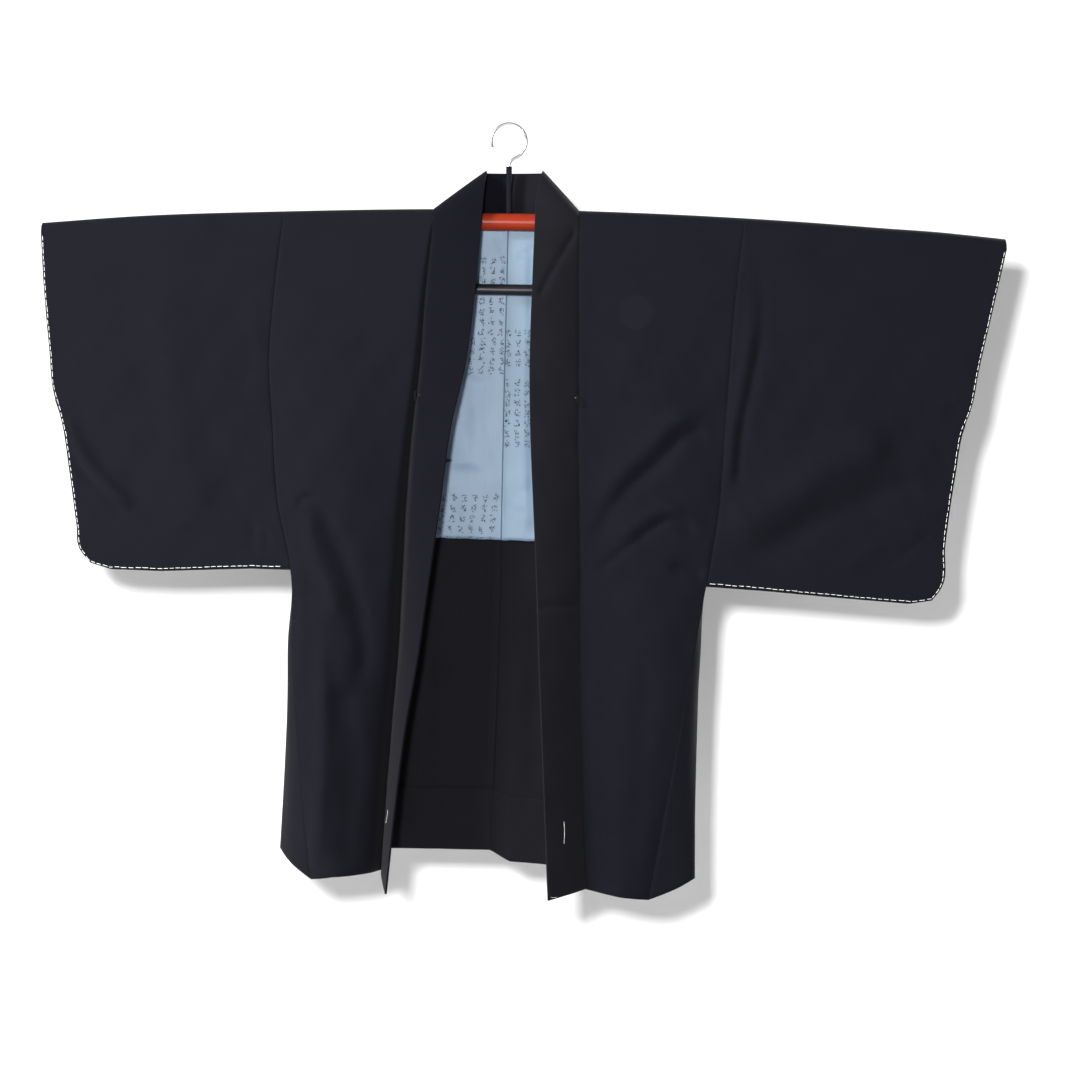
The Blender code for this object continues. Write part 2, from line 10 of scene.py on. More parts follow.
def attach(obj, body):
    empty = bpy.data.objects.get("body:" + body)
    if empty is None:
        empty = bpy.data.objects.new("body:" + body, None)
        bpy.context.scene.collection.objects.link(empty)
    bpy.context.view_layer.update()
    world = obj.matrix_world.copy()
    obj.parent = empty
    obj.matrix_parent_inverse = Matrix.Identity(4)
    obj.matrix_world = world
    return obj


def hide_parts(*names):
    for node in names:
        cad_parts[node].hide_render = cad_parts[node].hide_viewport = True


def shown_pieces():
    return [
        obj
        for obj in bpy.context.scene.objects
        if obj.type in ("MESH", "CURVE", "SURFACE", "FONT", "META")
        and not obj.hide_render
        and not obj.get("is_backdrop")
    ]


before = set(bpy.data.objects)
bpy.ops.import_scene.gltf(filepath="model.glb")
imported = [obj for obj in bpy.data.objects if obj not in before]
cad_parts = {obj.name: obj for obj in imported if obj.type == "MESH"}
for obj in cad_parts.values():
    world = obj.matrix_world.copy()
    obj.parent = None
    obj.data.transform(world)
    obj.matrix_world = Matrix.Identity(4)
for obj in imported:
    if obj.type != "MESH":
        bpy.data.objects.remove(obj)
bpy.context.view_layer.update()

# Walls of the cloth, in metres, and its gaps at seams
CLOTH = 0.0012
BAND_CLOTH = 0.0026
LINING_CLOTH = 0.001
LAY_GAP = 0.0008
ARMHOLE_GAP_TOP = 0.0003
ARMHOLE_GAP_FOOT = 0.0007
BAND_SEAM_GAP = 0.0003
CENTRE_GAP = 0.00004
LINING_CENTRE_GAP = 0.0007
GUSSET_GAP = 0.0003
# How far the gussets bow out, over how many levels it grows, and its share to the front
GUSSET_BOW = 0.005
GUSSET_BOW_REACH = 0.3
GUSSET_BOW_FORWARD = 0.4
# How far a rim rounds out, as a share of the wall
RIM = 0.12
# Depth and width of the dip beside a seam
SEAM_DIP = 0.0009
SEAM_ROLL = 0.0026

# The fold over the hanger
FOLD_RADIUS = 0.015
FOLD_STEPS = 12

# How far down from the fold, and up from the sleeve's foot, seams take to sink, in levels
SINK_FROM_FOLD = 0.05
SINK_FROM_FOOT = 0.06

# Levels down the jacket: 0 under the shoulder fold, 1 at the sleeve's foot, 2 at the hem
LINING_END = 0.897
FACING_START = 1.773
UPPER_ROWS = 95
LOWER_ROWS = 82

# Points across each piece, and how much closer together they lie at its edges
CHEST_COLUMNS = (46, 0.8)
NECK_COLUMNS = (22, 0.5)
SLEEVE_COLUMNS = (62, 0.7)
BAND_COLUMNS = (27, 0.75)
LINING_ROWS = 100
LINING_COLUMNS = (36, 0.3)
LINING_NECK_COLUMNS = (30, 0.4)
FACING_ROWS = 22
FACING_NECK_COLUMNS = (22, 0.4)
ALLOWANCE_ROWS = 76
ALLOWANCE_COLUMNS = 8
GUSSET_COLUMNS = 11
EDGE_STEPS = 4

# Heights across the jacket, from cuff to cuff
SHOULDER = {
    "x": (-0.625, -0.5, -0.3, -0.1, 0.095, 0.31, 0.41, 0.5, 0.57, 0.666),
    "z": (-0.131, -0.122, -0.1155, -0.1125, -0.115, -0.1245, -0.131, -0.138, -0.143, -0.153),
}
SLEEVE_FOOT = {
    "x": (-0.58, -0.467, -0.347, -0.291, 0.263, 0.35, 0.43, 0.51, 0.575),
    "z": (-0.592, -0.596, -0.592, -0.5935, -0.616, -0.623, -0.631, -0.638, -0.644),
}
FRONT_HEM = {
    "x": (-0.263, -0.233, -0.172, 0.101, 0.148, 0.185),
    "z": (-1.007, -1.002, -1.001, -1.019, -1.028, -1.033),
}
BACK_HEM = {
    "x": (-0.31, -0.16, -0.027, 0.0, 0.05, 0.15, 0.248),
    "z": (-0.972, -0.976, -0.978, -0.992, -0.996, -1.0, -1.007),
}

# Each half by level: side seams, band seam and the band's free edge
RIGHT = {
    "sign": -1,
    "level": (0.0, 0.2, 0.4, 0.6, 0.8, 1.0, 1.25, 1.5, 1.75, 2.0),
    "front_side_x": (-0.302, -0.313, -0.32, -0.315, -0.309, -0.291, -0.288, -0.281, -0.273, -0.263),
    "front_side_y": (-0.015, -0.015, -0.015, -0.015, -0.015, -0.015, -0.017, -0.019, -0.021, -0.022),
    "back_side_x": (-0.302, -0.313, -0.32, -0.315, -0.309, -0.291, -0.294, -0.299, -0.304, -0.31),
    "back_side_y": (0.015, 0.015, 0.015, 0.015, 0.015, 0.015, 0.017, 0.021, 0.026, 0.03),
    "seam_x": (-0.1, -0.111, -0.119, -0.13, -0.138, -0.143, -0.148, -0.157, -0.165, -0.172),
    "seam_y": (-0.015, -0.017, -0.014, -0.009, -0.005, -0.002, 0.002, 0.005, 0.007, 0.008),
    "edge_x": (-0.034, -0.044, -0.056, -0.077, -0.09, -0.104, -0.119, -0.137, -0.15, -0.161),
    "edge_y": (-0.02, -0.036, -0.041, -0.051, -0.053, -0.058, -0.06, -0.061, -0.06, -0.06),
    "edge_drop": (0.0, 0.0, 0.0, 0.0, 0.002, 0.005, 0.009, 0.013, 0.017, 0.02),
    "front_belly": (0.0, 0.003, 0.007, 0.011, 0.014, 0.018, 0.022, 0.026, 0.029, 0.031),
    "back_belly": (0.0, 0.003, 0.006, 0.009, 0.01, 0.011, 0.012, 0.013, 0.014, 0.015),
    "centre_step": (0.0,) * 10,
    "collar_corner_x": -0.03,
    "valley_depth": (0.003, 0.007, 0.01, 0.013, 0.016, 0.018, 0.018, 0.017, 0.016, 0.015),
    "valley_width": (0.0024, 0.0036, 0.0044, 0.0056, 0.0074, 0.0088, 0.0096, 0.0098, 0.0096, 0.009),
}
LEFT = {
    "sign": 1,
    "level": RIGHT["level"],
    "front_side_x": (0.313, 0.302, 0.294, 0.287, 0.279, 0.263, 0.243, 0.224, 0.205, 0.185),
    "front_side_y": (-0.015, -0.015, -0.015, -0.015, -0.015, -0.015, -0.02, -0.026, -0.03, -0.032),
    "back_side_x": (0.313, 0.302, 0.294, 0.287, 0.279, 0.263, 0.256, 0.252, 0.249, 0.248),
    "back_side_y": (0.015, 0.015, 0.015, 0.015, 0.015, 0.015, 0.014, 0.011, 0.006, 0.002),
    "seam_x": (0.093, 0.092, 0.092, 0.092, 0.093, 0.093, 0.093, 0.094, 0.097, 0.101),
    "seam_y": (-0.015, -0.017, -0.018, -0.02, -0.022, -0.023, -0.025, -0.027, -0.029, -0.03),
    "edge_x": (0.036, 0.031, 0.028, 0.029, 0.033, 0.037, 0.04, 0.044, 0.048, 0.052),
    "edge_y": (-0.02, -0.04, -0.044, -0.048, -0.056, -0.062, -0.068, -0.073, -0.077, -0.079),
    "edge_drop": (0.0, 0.0, 0.0, 0.0, 0.0, 0.001, 0.002, 0.004, 0.006, 0.008),
    "front_belly": (0.0, 0.003, 0.006, 0.009, 0.011, 0.013, 0.014, 0.015, 0.016, 0.016),
    "back_belly": (0.0, 0.003, 0.006, 0.009, 0.01, 0.011, 0.013, 0.015, 0.017, 0.018),
    "centre_step": (0.0, 0.0, 0.0, 0.0, 0.0, 0.0, 0.002, 0.007, 0.012, 0.015),
    "collar_corner_x": 0.045,
    "valley_depth": (0.0009,) * 10,
    "valley_width": (0.0026,) * 10,
}
CENTRE_BACK = {
    "level": (0.0, 0.5, 1.0, 1.5, 2.0),
    "x": (-0.001, -0.007, -0.012, -0.018, -0.026),
    "y": (0.015, 0.024, 0.034, 0.043, 0.052),
}
CENTRE_STEP_WIDTH = 0.028
# The fronts stand out most near their side edge, and less towards the band
BELLY_AT_SIDE = 1.2
BELLY_FALL = 0.6
BACK_BELLY_SHARE = 0.5

# Share of its folds that the back keeps at the centre seam, and how near that holds
CENTRE_HOLD = 0.25
CENTRE_HOLD_REACH = 0.25
CENTRE_SINK_SHARE = 0.6
# How suddenly folds stop at the band seam, at the cuff and at the sleeve's foot
BAND_HOLD = 4
CUFF_HOLD = 14
FOOT_HOLD = 12

# Sleeves: outer edge by share of the way down
RIGHT_SLEEVE = {
    "down": (0.0, 0.14, 0.34, 0.49, 0.54, 0.72, 0.88, 0.96, 1.0),
    "outer_x": (-0.624, -0.621, -0.614, -0.607, -0.6, -0.587, -0.578, -0.573, -0.56),
    "outer_y": (0.015, 0.014, 0.011, 0.009, 0.008, 0.006, 0.005, 0.005, 0.004),
}
LEFT_SLEEVE = {
    "down": (0.0, 0.17, 0.35, 0.45, 0.52, 0.63, 0.84, 0.96, 1.0),
    "outer_x": (0.664, 0.646, 0.627, 0.618, 0.606, 0.597, 0.583, 0.578, 0.566),
    "outer_y": (0.015, 0.014, 0.011, 0.009, 0.008, 0.006, 0.005, 0.005, 0.004),
}
CUFF_OPEN_DOWN = 0.5
SLEEVE_BELLY = 0.004
LEAST_SLEEVE_DEPTH = 0.6
CORNER_LIFT = 0.007
CORNER_REACH = 0.1
CORNER_SHARPNESS = 8
EDGE_ROUND = 0.07

# Collar band at the neck
COLLAR_TOP_Z = -0.0625
COLLAR_TOP_Y = 0.019
NECK_LIFT = 0.028
NECK_LIFT_LEVELS = 0.22
NECK_LIFT_CURVE = 1.5
NECK_STEPS = 22
COLLAR_LEAN = 0.004
BAND_BOW = 0.003
BAND_FLUTTER = 0.7

# Layers inside the back, as shares across it: side edge 0, neck line 1, centre seam 2
INNER_START = 0.06
ALLOWANCE_START = 1.86
ALLOWANCE_GAP = 0.006
LINING_PUFF = 0.0016
LINING_LEAST_GAP = 0.5
LINING_WAVE = 0.0003
LINING_WAVE_REACH = 0.05
# Waves of the lining's lower edge: radians per metre, start and share of the wave's height
EDGE_WAVES = (
    (190.0, 0.0, 1.0),
    (410.0, 1.0, 0.6),
)

# Loops for the front ties
LOOP_LEVEL = 0.5
LOOP_RADIUS = 0.006
LOOP_CORD = 0.001
LOOP_CLEARANCE = 0.0026
LOOP_POINTS = 15

# Folds and creases: (x, z) places along each, half width, height towards the outside
# and the share of its length over which each end dies away
CREASE_COLUMNS = ("path", "width", "height", "fade")
FRONT_CREASES = (
    # wearer's left sleeve: the wide slanting hollow with the roll above it
    (((0.3, -0.596), (0.37, -0.556), (0.455, -0.512), (0.56, -0.47)), 0.02, -0.006, 0.12),
    (((0.29, -0.56), (0.35, -0.512), (0.43, -0.462), (0.51, -0.412)), 0.03, 0.014, 0.15),
    (((0.42, -0.612), (0.5, -0.56), (0.57, -0.52)), 0.016, 0.003, 0.25),
    # the upright fold beside its armhole
    (((0.338, -0.14), (0.336, -0.205), (0.337, -0.276), (0.326, -0.339), (0.31, -0.414),
      (0.305, -0.489)), 0.006, -0.0036, 0.08),
    (((0.325, -0.14), (0.322, -0.205), (0.322, -0.276), (0.311, -0.339), (0.297, -0.414),
      (0.293, -0.489)), 0.009, 0.004, 0.08),
    (((0.498, -0.602), (0.534, -0.571), (0.569, -0.541)), 0.005, -0.0022, 0.25),
    (((0.612, -0.368), (0.598, -0.38), (0.575, -0.384)), 0.005, -0.0016, 0.3),
    (((0.6, -0.47), (0.583, -0.478), (0.556, -0.482)), 0.006, -0.0012, 0.3),
    # wearer's left front: two slanting folds from the armhole to the band
    (((0.27, -0.414), (0.235, -0.414), (0.201, -0.45), (0.16, -0.487), (0.131, -0.524),
      (0.106, -0.566)), 0.011, -0.008, 0.12),
    (((0.262, -0.392), (0.225, -0.396), (0.186, -0.432), (0.146, -0.47), (0.116, -0.51)),
     0.014, 0.007, 0.18),
    (((0.25, -0.552), (0.232, -0.536), (0.213, -0.529), (0.189, -0.541), (0.152, -0.571),
      (0.11, -0.602)), 0.006, -0.006, 0.12),
    (((0.24, -0.52), (0.21, -0.513), (0.18, -0.527), (0.142, -0.556)), 0.009, 0.0052, 0.2),
    (((0.262, -0.606), (0.236, -0.593), (0.212, -0.592)), 0.007, -0.0054, 0.25),
    (((0.174, -0.186), (0.16, -0.206), (0.143, -0.228)), 0.008, -0.003, 0.3),
    (((0.1, -0.29), (0.103, -0.33), (0.101, -0.37)), 0.005, -0.0016, 0.3),
    (((0.118, -0.7), (0.113, -0.8), (0.122, -0.92), (0.128, -1.01)), 0.012, 0.0026, 0.15),
    (((0.185, -0.69), (0.176, -0.8), (0.168, -0.93), (0.16, -1.03)), 0.016, -0.003, 0.12),
    # wearer's right front: the hooked fold and the long hollow below it
    (((-0.284, -0.512), (-0.276, -0.503), (-0.266, -0.499), (-0.252, -0.498)),
     0.0042, -0.0042, 0.2),
    (((-0.255, -0.499), (-0.242, -0.536), (-0.222, -0.58), (-0.202, -0.644), (-0.194, -0.692),
      (-0.199, -0.756)), 0.011, -0.0085, 0.15),
    (((-0.268, -0.512), (-0.262, -0.56), (-0.24, -0.612), (-0.224, -0.67)),
     0.012, 0.0055, 0.2),
    (((-0.225, -0.74), (-0.212, -0.82), (-0.212, -0.9), (-0.222, -1.0)),
     0.019, -0.008, 0.12),
    (((-0.249, -0.68), (-0.245, -0.796), (-0.25, -0.902), (-0.258, -1.003)),
     0.011, 0.006, 0.15),
    (((-0.286, -0.56), (-0.276, -0.64), (-0.277, -0.76)), 0.008, 0.0024, 0.25),
    # wearer's right sleeve: the slanting roll from the cuff and its shadow line
    (((-0.594, -0.384), (-0.583, -0.423), (-0.566, -0.452), (-0.539, -0.484), (-0.504, -0.52)),
     0.011, 0.012, 0.12),
    (((-0.59, -0.44), (-0.566, -0.468), (-0.547, -0.486), (-0.512, -0.522)),
     0.007, -0.009, 0.12),
    (((-0.323, -0.58), (-0.322, -0.56), (-0.325, -0.54)), 0.0045, -0.0034, 0.3),
    (((-0.346, -0.575), (-0.341, -0.548), (-0.346, -0.525)), 0.0055, -0.0036, 0.3),
    (((-0.335, -0.15), (-0.337, -0.26), (-0.33, -0.38)), 0.011, 0.0016, 0.25),
    (((-0.47, -0.15), (-0.455, -0.3), (-0.43, -0.46), (-0.38, -0.57)),
     0.03, 0.006, 0.25),
)
BACK_CREASES = (
    (((0.285, -0.56), (0.34, -0.48), (0.42, -0.4), (0.5, -0.35)), 0.024, 0.01, 0.2),
    (((0.33, -0.59), (0.39, -0.52), (0.46, -0.46)), 0.014, -0.007, 0.2),
    (((0.33, -0.14), (0.326, -0.26), (0.318, -0.4)), 0.006, -0.0034, 0.2),
    (((0.56, -0.61), (0.53, -0.56), (0.48, -0.51)), 0.01, 0.005, 0.25),
    (((-0.31, -0.57), (-0.37, -0.49), (-0.44, -0.4), (-0.51, -0.36)),
     0.022, 0.01, 0.2),
    (((-0.34, -0.585), (-0.4, -0.53), (-0.47, -0.5)), 0.009, -0.0055, 0.2),
    (((-0.335, -0.15), (-0.332, -0.28), (-0.325, -0.42)), 0.007, -0.0034, 0.2),
    (((0.25, -0.54), (0.2, -0.6), (0.15, -0.62)), 0.009, -0.005, 0.25),
    (((-0.28, -0.53), (-0.22, -0.59), (-0.16, -0.61)), 0.01, -0.0065, 0.25),
    (((0.18, -0.64), (0.188, -0.76), (0.204, -0.88), (0.21, -1.01)),
     0.022, 0.0115, 0.1),
    (((0.1, -0.64), (0.102, -0.78), (0.11, -0.99)), 0.018, -0.007, 0.12),
    (((-0.19, -0.64), (-0.205, -0.8), (-0.226, -0.97)), 0.022, 0.0115, 0.1),
    (((-0.11, -0.62), (-0.116, -0.78), (-0.128, -0.97)), 0.018, -0.007, 0.12),
    (((0.04, -0.62), (0.036, -0.76), (0.03, -0.9)), 0.012, 0.003, 0.15),
)
BAND_CREASES = (
    (((0.09, -0.14), (0.079, -0.16), (0.064, -0.186), (0.038, -0.236)), 0.0042, -0.0036, 0.1),
    (((0.036, -0.645), (0.068, -0.641), (0.096, -0.637)), 0.0034, -0.0045, 0.05),
    (((0.077, -0.938), (0.087, -0.936), (0.1, -0.933)), 0.0032, -0.0022, 0.2),
    (((0.04, -0.44), (0.06, -0.436), (0.088, -0.43)), 0.006, -0.0008, 0.25),
    (((-0.066, -0.5), (-0.1, -0.505), (-0.13, -0.508)), 0.006, -0.0008, 0.25),
    (((-0.12, -0.8), (-0.14, -0.806), (-0.156, -0.81)), 0.006, -0.0008, 0.25),
)
COLLAR_CREASES = (
    (((0.0045, -0.116), (0.0045, -0.066)), 0.005, 0.0024, 0.05),
    (((-0.0075, -0.116), (-0.0075, -0.066)), 0.005, -0.002, 0.05),
    (((0.018, -0.116), (0.018, -0.066)), 0.005, -0.002, 0.05),
)
LINING_CREASES = (
    (((-0.017, -0.146), (-0.012, -0.162), (-0.003, -0.175)), 0.0022, -0.0014, 0.2),
    (((0.01, -0.175), (0.02, -0.171), (0.03, -0.165)), 0.0024, -0.0014, 0.2),
    (((0.034, -0.15), (0.034, -0.3), (0.036, -0.55)), 0.008, -0.003, 0.05),
    (((-0.08, -0.33), (-0.045, -0.345), (-0.015, -0.34)), 0.009, 0.0016, 0.25),
    (((-0.09, -0.4), (-0.05, -0.392), (-0.018, -0.402)), 0.008, -0.0014, 0.25),
    (((-0.05, -0.33), (-0.042, -0.4), (-0.046, -0.47)), 0.01, 0.0016, 0.25),
    (((-0.085, -0.455), (-0.06, -0.45), (-0.03, -0.458)), 0.008, 0.0014, 0.25),
    (((0.0, -0.465), (0.012, -0.48), (0.028, -0.476)), 0.007, 0.0012, 0.25),
    (((-0.01, -0.5), (0.01, -0.52), (0.03, -0.515)), 0.008, -0.001, 0.25),
    (((-0.15, -0.3), (-0.16, -0.42), (-0.15, -0.53)), 0.015, 0.002, 0.2),
    (((0.15, -0.3), (0.16, -0.42), (0.15, -0.53)), 0.015, 0.002, 0.2),
)
CREASE_SAMPLES = 26
SETTLE_LEVELS = 0.35
# Gentle unevenness of hanging cloth: waves per metre across and down, and height
FLUTTER = (
    (7.0, 3.0, 0.0009),
    (15.0, -9.0, 0.0005),
    (4.0, 21.0, 0.0004),
    (31.0, 12.0, 0.0002),
)
# Turns that make the waves differ between the front, the back and the band
FRONT_TURN = 0.0
BACK_TURN = 2.0
BAND_TURN = 4.0

# Basting round the sleeves' edges: its place, thread, stitches and unevenness
BASTING_INSET = 0.0019
BASTING_RADIUS = 0.00028
LOOSE_THREAD_RADIUS = 0.0002
BASTING_DASH = 0.0066
BASTING_GAP = 0.0026
BASTING_SINK = 0.7
DASH_SPREAD = (0.75, 1.15)
GAP_SPREAD = (0.8, 1.3)
BASTING_SWAY = 0.0004
DASH_SEED = 7
SWAY_SEED = 11
DASH_POINTS = 4
BASTING_TOP = 0.01
BASTING_END = 0.012
CUFF_POINTS = 260
FOOT_POINTS = 200
# A sleeve's rough height and reach, which turn the inset into shares
SLEEVE_HEIGHT = 0.46
SLEEVE_REACH = 0.3
# Loose threads: the band that each lies on, and its (x, z) places
THREADS = (
    ("band_right", (-0.1196, -0.3618), (-0.1192, -0.3624)),
    ("band_left", (0.0886, -0.3668), (0.0892, -0.3674)),
    ("band_left", (0.0985, -0.9295), (0.0978, -0.9303)),
    ("band_left", (0.073, -0.926), (0.0738, -0.94), (0.073, -0.955)),
    ("band_right", (-0.161, -0.915), (-0.1622, -0.924), (-0.164, -0.933)),
    ("band_left", (0.056, -1.0225), (0.059, -1.0235), (0.063, -1.0238)),
)

# Blocks of printed dabs on the lining, whose columns lean sideways, and a dab's strokes
DAB_COLUMNS = ("x", "pitch_x", "columns", "z", "pitch_z", "rows", "lean")
DAB_BLOCKS = (
    (-0.0345, 0.0132, 3, -0.179, 0.0138, 8, 0.004),
    (-0.049, 0.0138, 4, -0.288, 0.0132, 4, 0.004),
    (-0.088, 0.014, 6, -0.499, 0.0142, 5, 0.01),
    (-0.0015, 0.0132, 3, -0.277, 0.0134, 4, 0.0),
    (-0.0025, 0.0134, 3, -0.344, 0.0136, 7, 0.0),
)
DAB_SEED = 23
DAB_LIFT = 0.00022
DAB_HEIGHT = 0.0112
DAB_WIDTH = 0.0084
DAB_FILL_ACROSS = 0.8
DAB_FILL_DOWN = 0.85
DAB_SHIFT = 0.001
STROKE_COUNTS = (9, 10, 11)
STROKE_ANGLES = (0.15, 0.2, 1.1, 1.6, 2.2, 2.6)
STROKE_TURN = 0.2
STROKE_LENGTH = (0.0022, 0.0046)
STROKE_BEND = 0.0007
STROKE_WIDTH = (0.00036, 0.00062)
STROKE_POINTS = 5
STROKE_THICKEST = -0.15
STROKE_TAPER = 1.1
# Small dark triangle at the lining's edge
DARK_TRIANGLE = ((-0.09, -0.445), (-0.09, -0.4535), (-0.076, -0.448))

# Disc of the plain crest on the wearer's left front
CREST_CENTRE = (0.169, -0.0215, -0.2525)
CREST_RADIUS = 0.0225

# How each sheet was cut: width and length, and the area of those that aren't rectangles
BODY_CUT = (0.33, 1.82)
BODY_AREA = 0.48
SLEEVE_CUT = (0.33, 0.99)
GUSSET_CUT = (0.06, 0.41)
GUSSET_AREA = 0.018
BAND_CUT = (0.072, 1.06)
LINING_CUT = (0.31, 0.43)
FACING_CUT = (0.28, 0.093)
ALLOWANCE_CUT = (0.014, 0.36)

# Colours, as linear red, green and blue, and how far each varies
NAVY = (0.0034, 0.0035, 0.0056)
# The right band is the same navy cloth, darkened so its side that faces the lamps looks less lit:
# painted shade.
NAVY_BAND_RIGHT_PAINTED_SHADE = (0.0019, 0.0018, 0.0036)
# The left band is the same navy cloth, lightened so it looks more lit: painted light.
NAVY_BAND_LEFT_PAINTED_LIGHT = (0.0048, 0.0048, 0.0064)
# The inside faces are the same navy cloth, made lighter so the shaded inside of the jacket looks
# brighter: painted light.
NAVY_INNER_PAINTED_LIGHT = (0.0044, 0.0043, 0.0056)
# The two lining halves are one cloth; their colours differ to match how brightly each is lit:
# painted light on the right half and painted shade on the left.
LINING_LEFT = (0.102, 0.158, 0.218)
LINING_LEFT_SHADE = (0.078, 0.124, 0.176)
LINING_RIGHT = (0.112, 0.169, 0.233)
LINING_RIGHT_SHADE = (0.075, 0.117, 0.172)
INK = (0.014, 0.020, 0.032)
ORANGE = (0.150, 0.014, 0.005)
BLACK = (0.005, 0.005, 0.007)
STEEL = (0.560, 0.570, 0.580)
THREAD_WHITE = (0.800, 0.790, 0.760)
CLOTH_VARY = 0.07
HARD_VARY = 0.06
THREAD_SHADE = 0.85
CREST_BRIGHTER = 1.3
CREST_EDGE = 0.06

# Shader values of the cloths and threads
CLOTH_SHADER = {"Roughness": 0.85, "Specular IOR Level": 0.035, "Sheen Weight": 0.02,
                "Sheen Roughness": 0.5}
SATIN_SHADER = {"Roughness": 0.42, "Specular IOR Level": 0.35, "Sheen Weight": 0.15}
THREAD_SHADER = {"Roughness": 0.8, "Specular IOR Level": 0.3, "Sheen Weight": 0.2}
CORD_SHADER = {"Roughness": 0.8, "Specular IOR Level": 0.04, "Sheen Weight": 0.02}
# Weaves: the distance between threads, and how uneven they are
CLOTH_PITCH = 0.0009
SATIN_PITCH = 0.0006
WEAVE_UNEVEN = {"Distortion": 0.4, "Detail": 1.0}
# Noises: scale, detail and how each axis is stretched
CLOTH_CLOUD = (14.0, 3.0)
SLUB_ALONG = (260.0, 2.0, (1.0, 0.1, 1.0))
SLUB_ACROSS = (260.0, 2.0, (0.1, 1.0, 1.0))
SATIN_CLOUD = (11.0, 2.0, (1.0, 0.7, 1.0))
SATIN_THREADS = (500.0, 2.0, (1.0, 0.05, 1.0))
HARD_PATCH = (22.0, 4.0, (1.0, 3.0, 3.0))
HARD_GRAIN = (420.0, 2.0)
TWIST = (900.0, 2.0)
# How much of a finer noise is added to a coarser one, for colour or for height
SLUB_SHARE = 0.5
SATIN_THREAD_SHARE = 0.15
GRAIN_SHARE = 0.3
SLUB_HEIGHT = 0.8
SATIN_CLOUD_HEIGHT = 6.0
# Noise values between which the colour changes
CLOTH_RANGE = (0.7, 1.3)
SATIN_RANGE = (0.38, 0.74)
HARD_RANGE = (0.35, 0.95)
TWIST_RANGE = (0.3, 0.8)
# Bumps: strength, and height in metres
CLOTH_BUMP = (0.35, 0.00012)
SATIN_BUMP = (0.3, 0.00012)
HARD_BUMP = (0.12, 0.0001)
THREAD_BUMP = (0.3, 0.0001)

# Hanger: colour, roughness, metallic and specular of each material
HARD_LOOKS = {
    "orange_plastic": (ORANGE, 0.34, 0.0, 0.07),
    "black_plastic": (BLACK, 0.32, 0.0, 0.16),
    "matt_black_plastic": (BLACK, 0.75, 0.0, 0.03),
    "steel_wire": (STEEL, 0.25, 1.0, 0.5),
}
# Material slot and material of the hanger's parts that aren't plain black plastic
HANGER_LOOKS = {
    "hanger_tube": ("orange_plastic", "orange_plastic"),
    "hanger_post": ("black_plastic", "matt_black_plastic"),
    "hanger_hook": ("steel_wire", "steel_wire"),
}

CAMERA_PLACE = (0.0415, -3.03, -0.556)
CAMERA_LENS = 75.37
FLOOR_Z = -1.45
BACKDROP_Y = 0.45

# Lights: the front one alone also lights the floor and the backdrop, and casts the shadow;
# nothing but the object blocks the rear one
LIGHT_COLUMNS = ("name", "place", "target", "size", "power", "object_only", "past_backdrop")
MIDDLE = (0.02, 0.0, -0.55)
LIGHTS = (
    ("key", (-2.3, -2.0, 1.3), MIDDLE, 0.9, 245.0, True, False),
    ("low", (-2.4, -1.0, -1.5), (-0.3, 0.0, -0.7), 0.8, 118.0, True, False),
    ("front", (-0.20, -3.10, -0.30), MIDDLE, 0.18, 146.0, False, False),
    ("rear", (2.5, 1.7, 1.3), MIDDLE, 0.9, 270.0, True, True),
)
WORLD_STRENGTH = 0.35
BACKDROP_WHITE = (0.92, 0.92, 0.92)
FLOOR_WHITE = (0.82, 0.82, 0.82)
FLOOR = ((-3.0, -4.0, FLOOR_Z), (3.0, 3.0, FLOOR_Z))
BACKDROP = ((-2.6, BACKDROP_Y, FLOOR_Z), (2.6, BACKDROP_Y, 1.6))


def smooth(at, keys, values):
    """Values on a smooth curve through the given rows, held flat past the ends."""
    keys = np.array(keys, float)
    values = np.array(values, float)
    at = np.clip(np.asarray(at, float), keys[0], keys[-1])
    slopes = np.gradient(values, keys)
    row = np.clip(np.searchsorted(keys, at) - 1, 0, len(keys) - 2)
    span = keys[row + 1] - keys[row]
    t = (at - keys[row]) / span
    start = (2 * t ** 3 - 3 * t ** 2 + 1) * values[row]
    start += (t ** 3 - 2 * t ** 2 + t) * span * slopes[row]
    end = (3 * t ** 2 - 2 * t ** 3) * values[row + 1]
    end += (t ** 3 - t ** 2) * span * slopes[row + 1]
    return start + end


def mix(a, b, share):
    return a + (b - a) * share


def ease(share):
    share = np.clip(share, 0.0, 1.0)
    return share * share * (3.0 - 2.0 * share)


def by_level(half, column, level):
    return smooth(level, half["level"], half[column])


def walked_along(path):
    """Distance walked along a path at each of its places."""
    steps = np.hypot(*np.diff(path, axis=0).T)
    return np.concatenate([[0.0], np.cumsum(steps)])


def rounded(path):
    """The same path with its corners rounded."""
    path = np.array(path, float)
    walked = walked_along(path)
    at = np.linspace(0.0, walked[-1], CREASE_SAMPLES)
    return np.stack([smooth(at, walked, path[:, axis]) for axis in range(2)], axis=1)


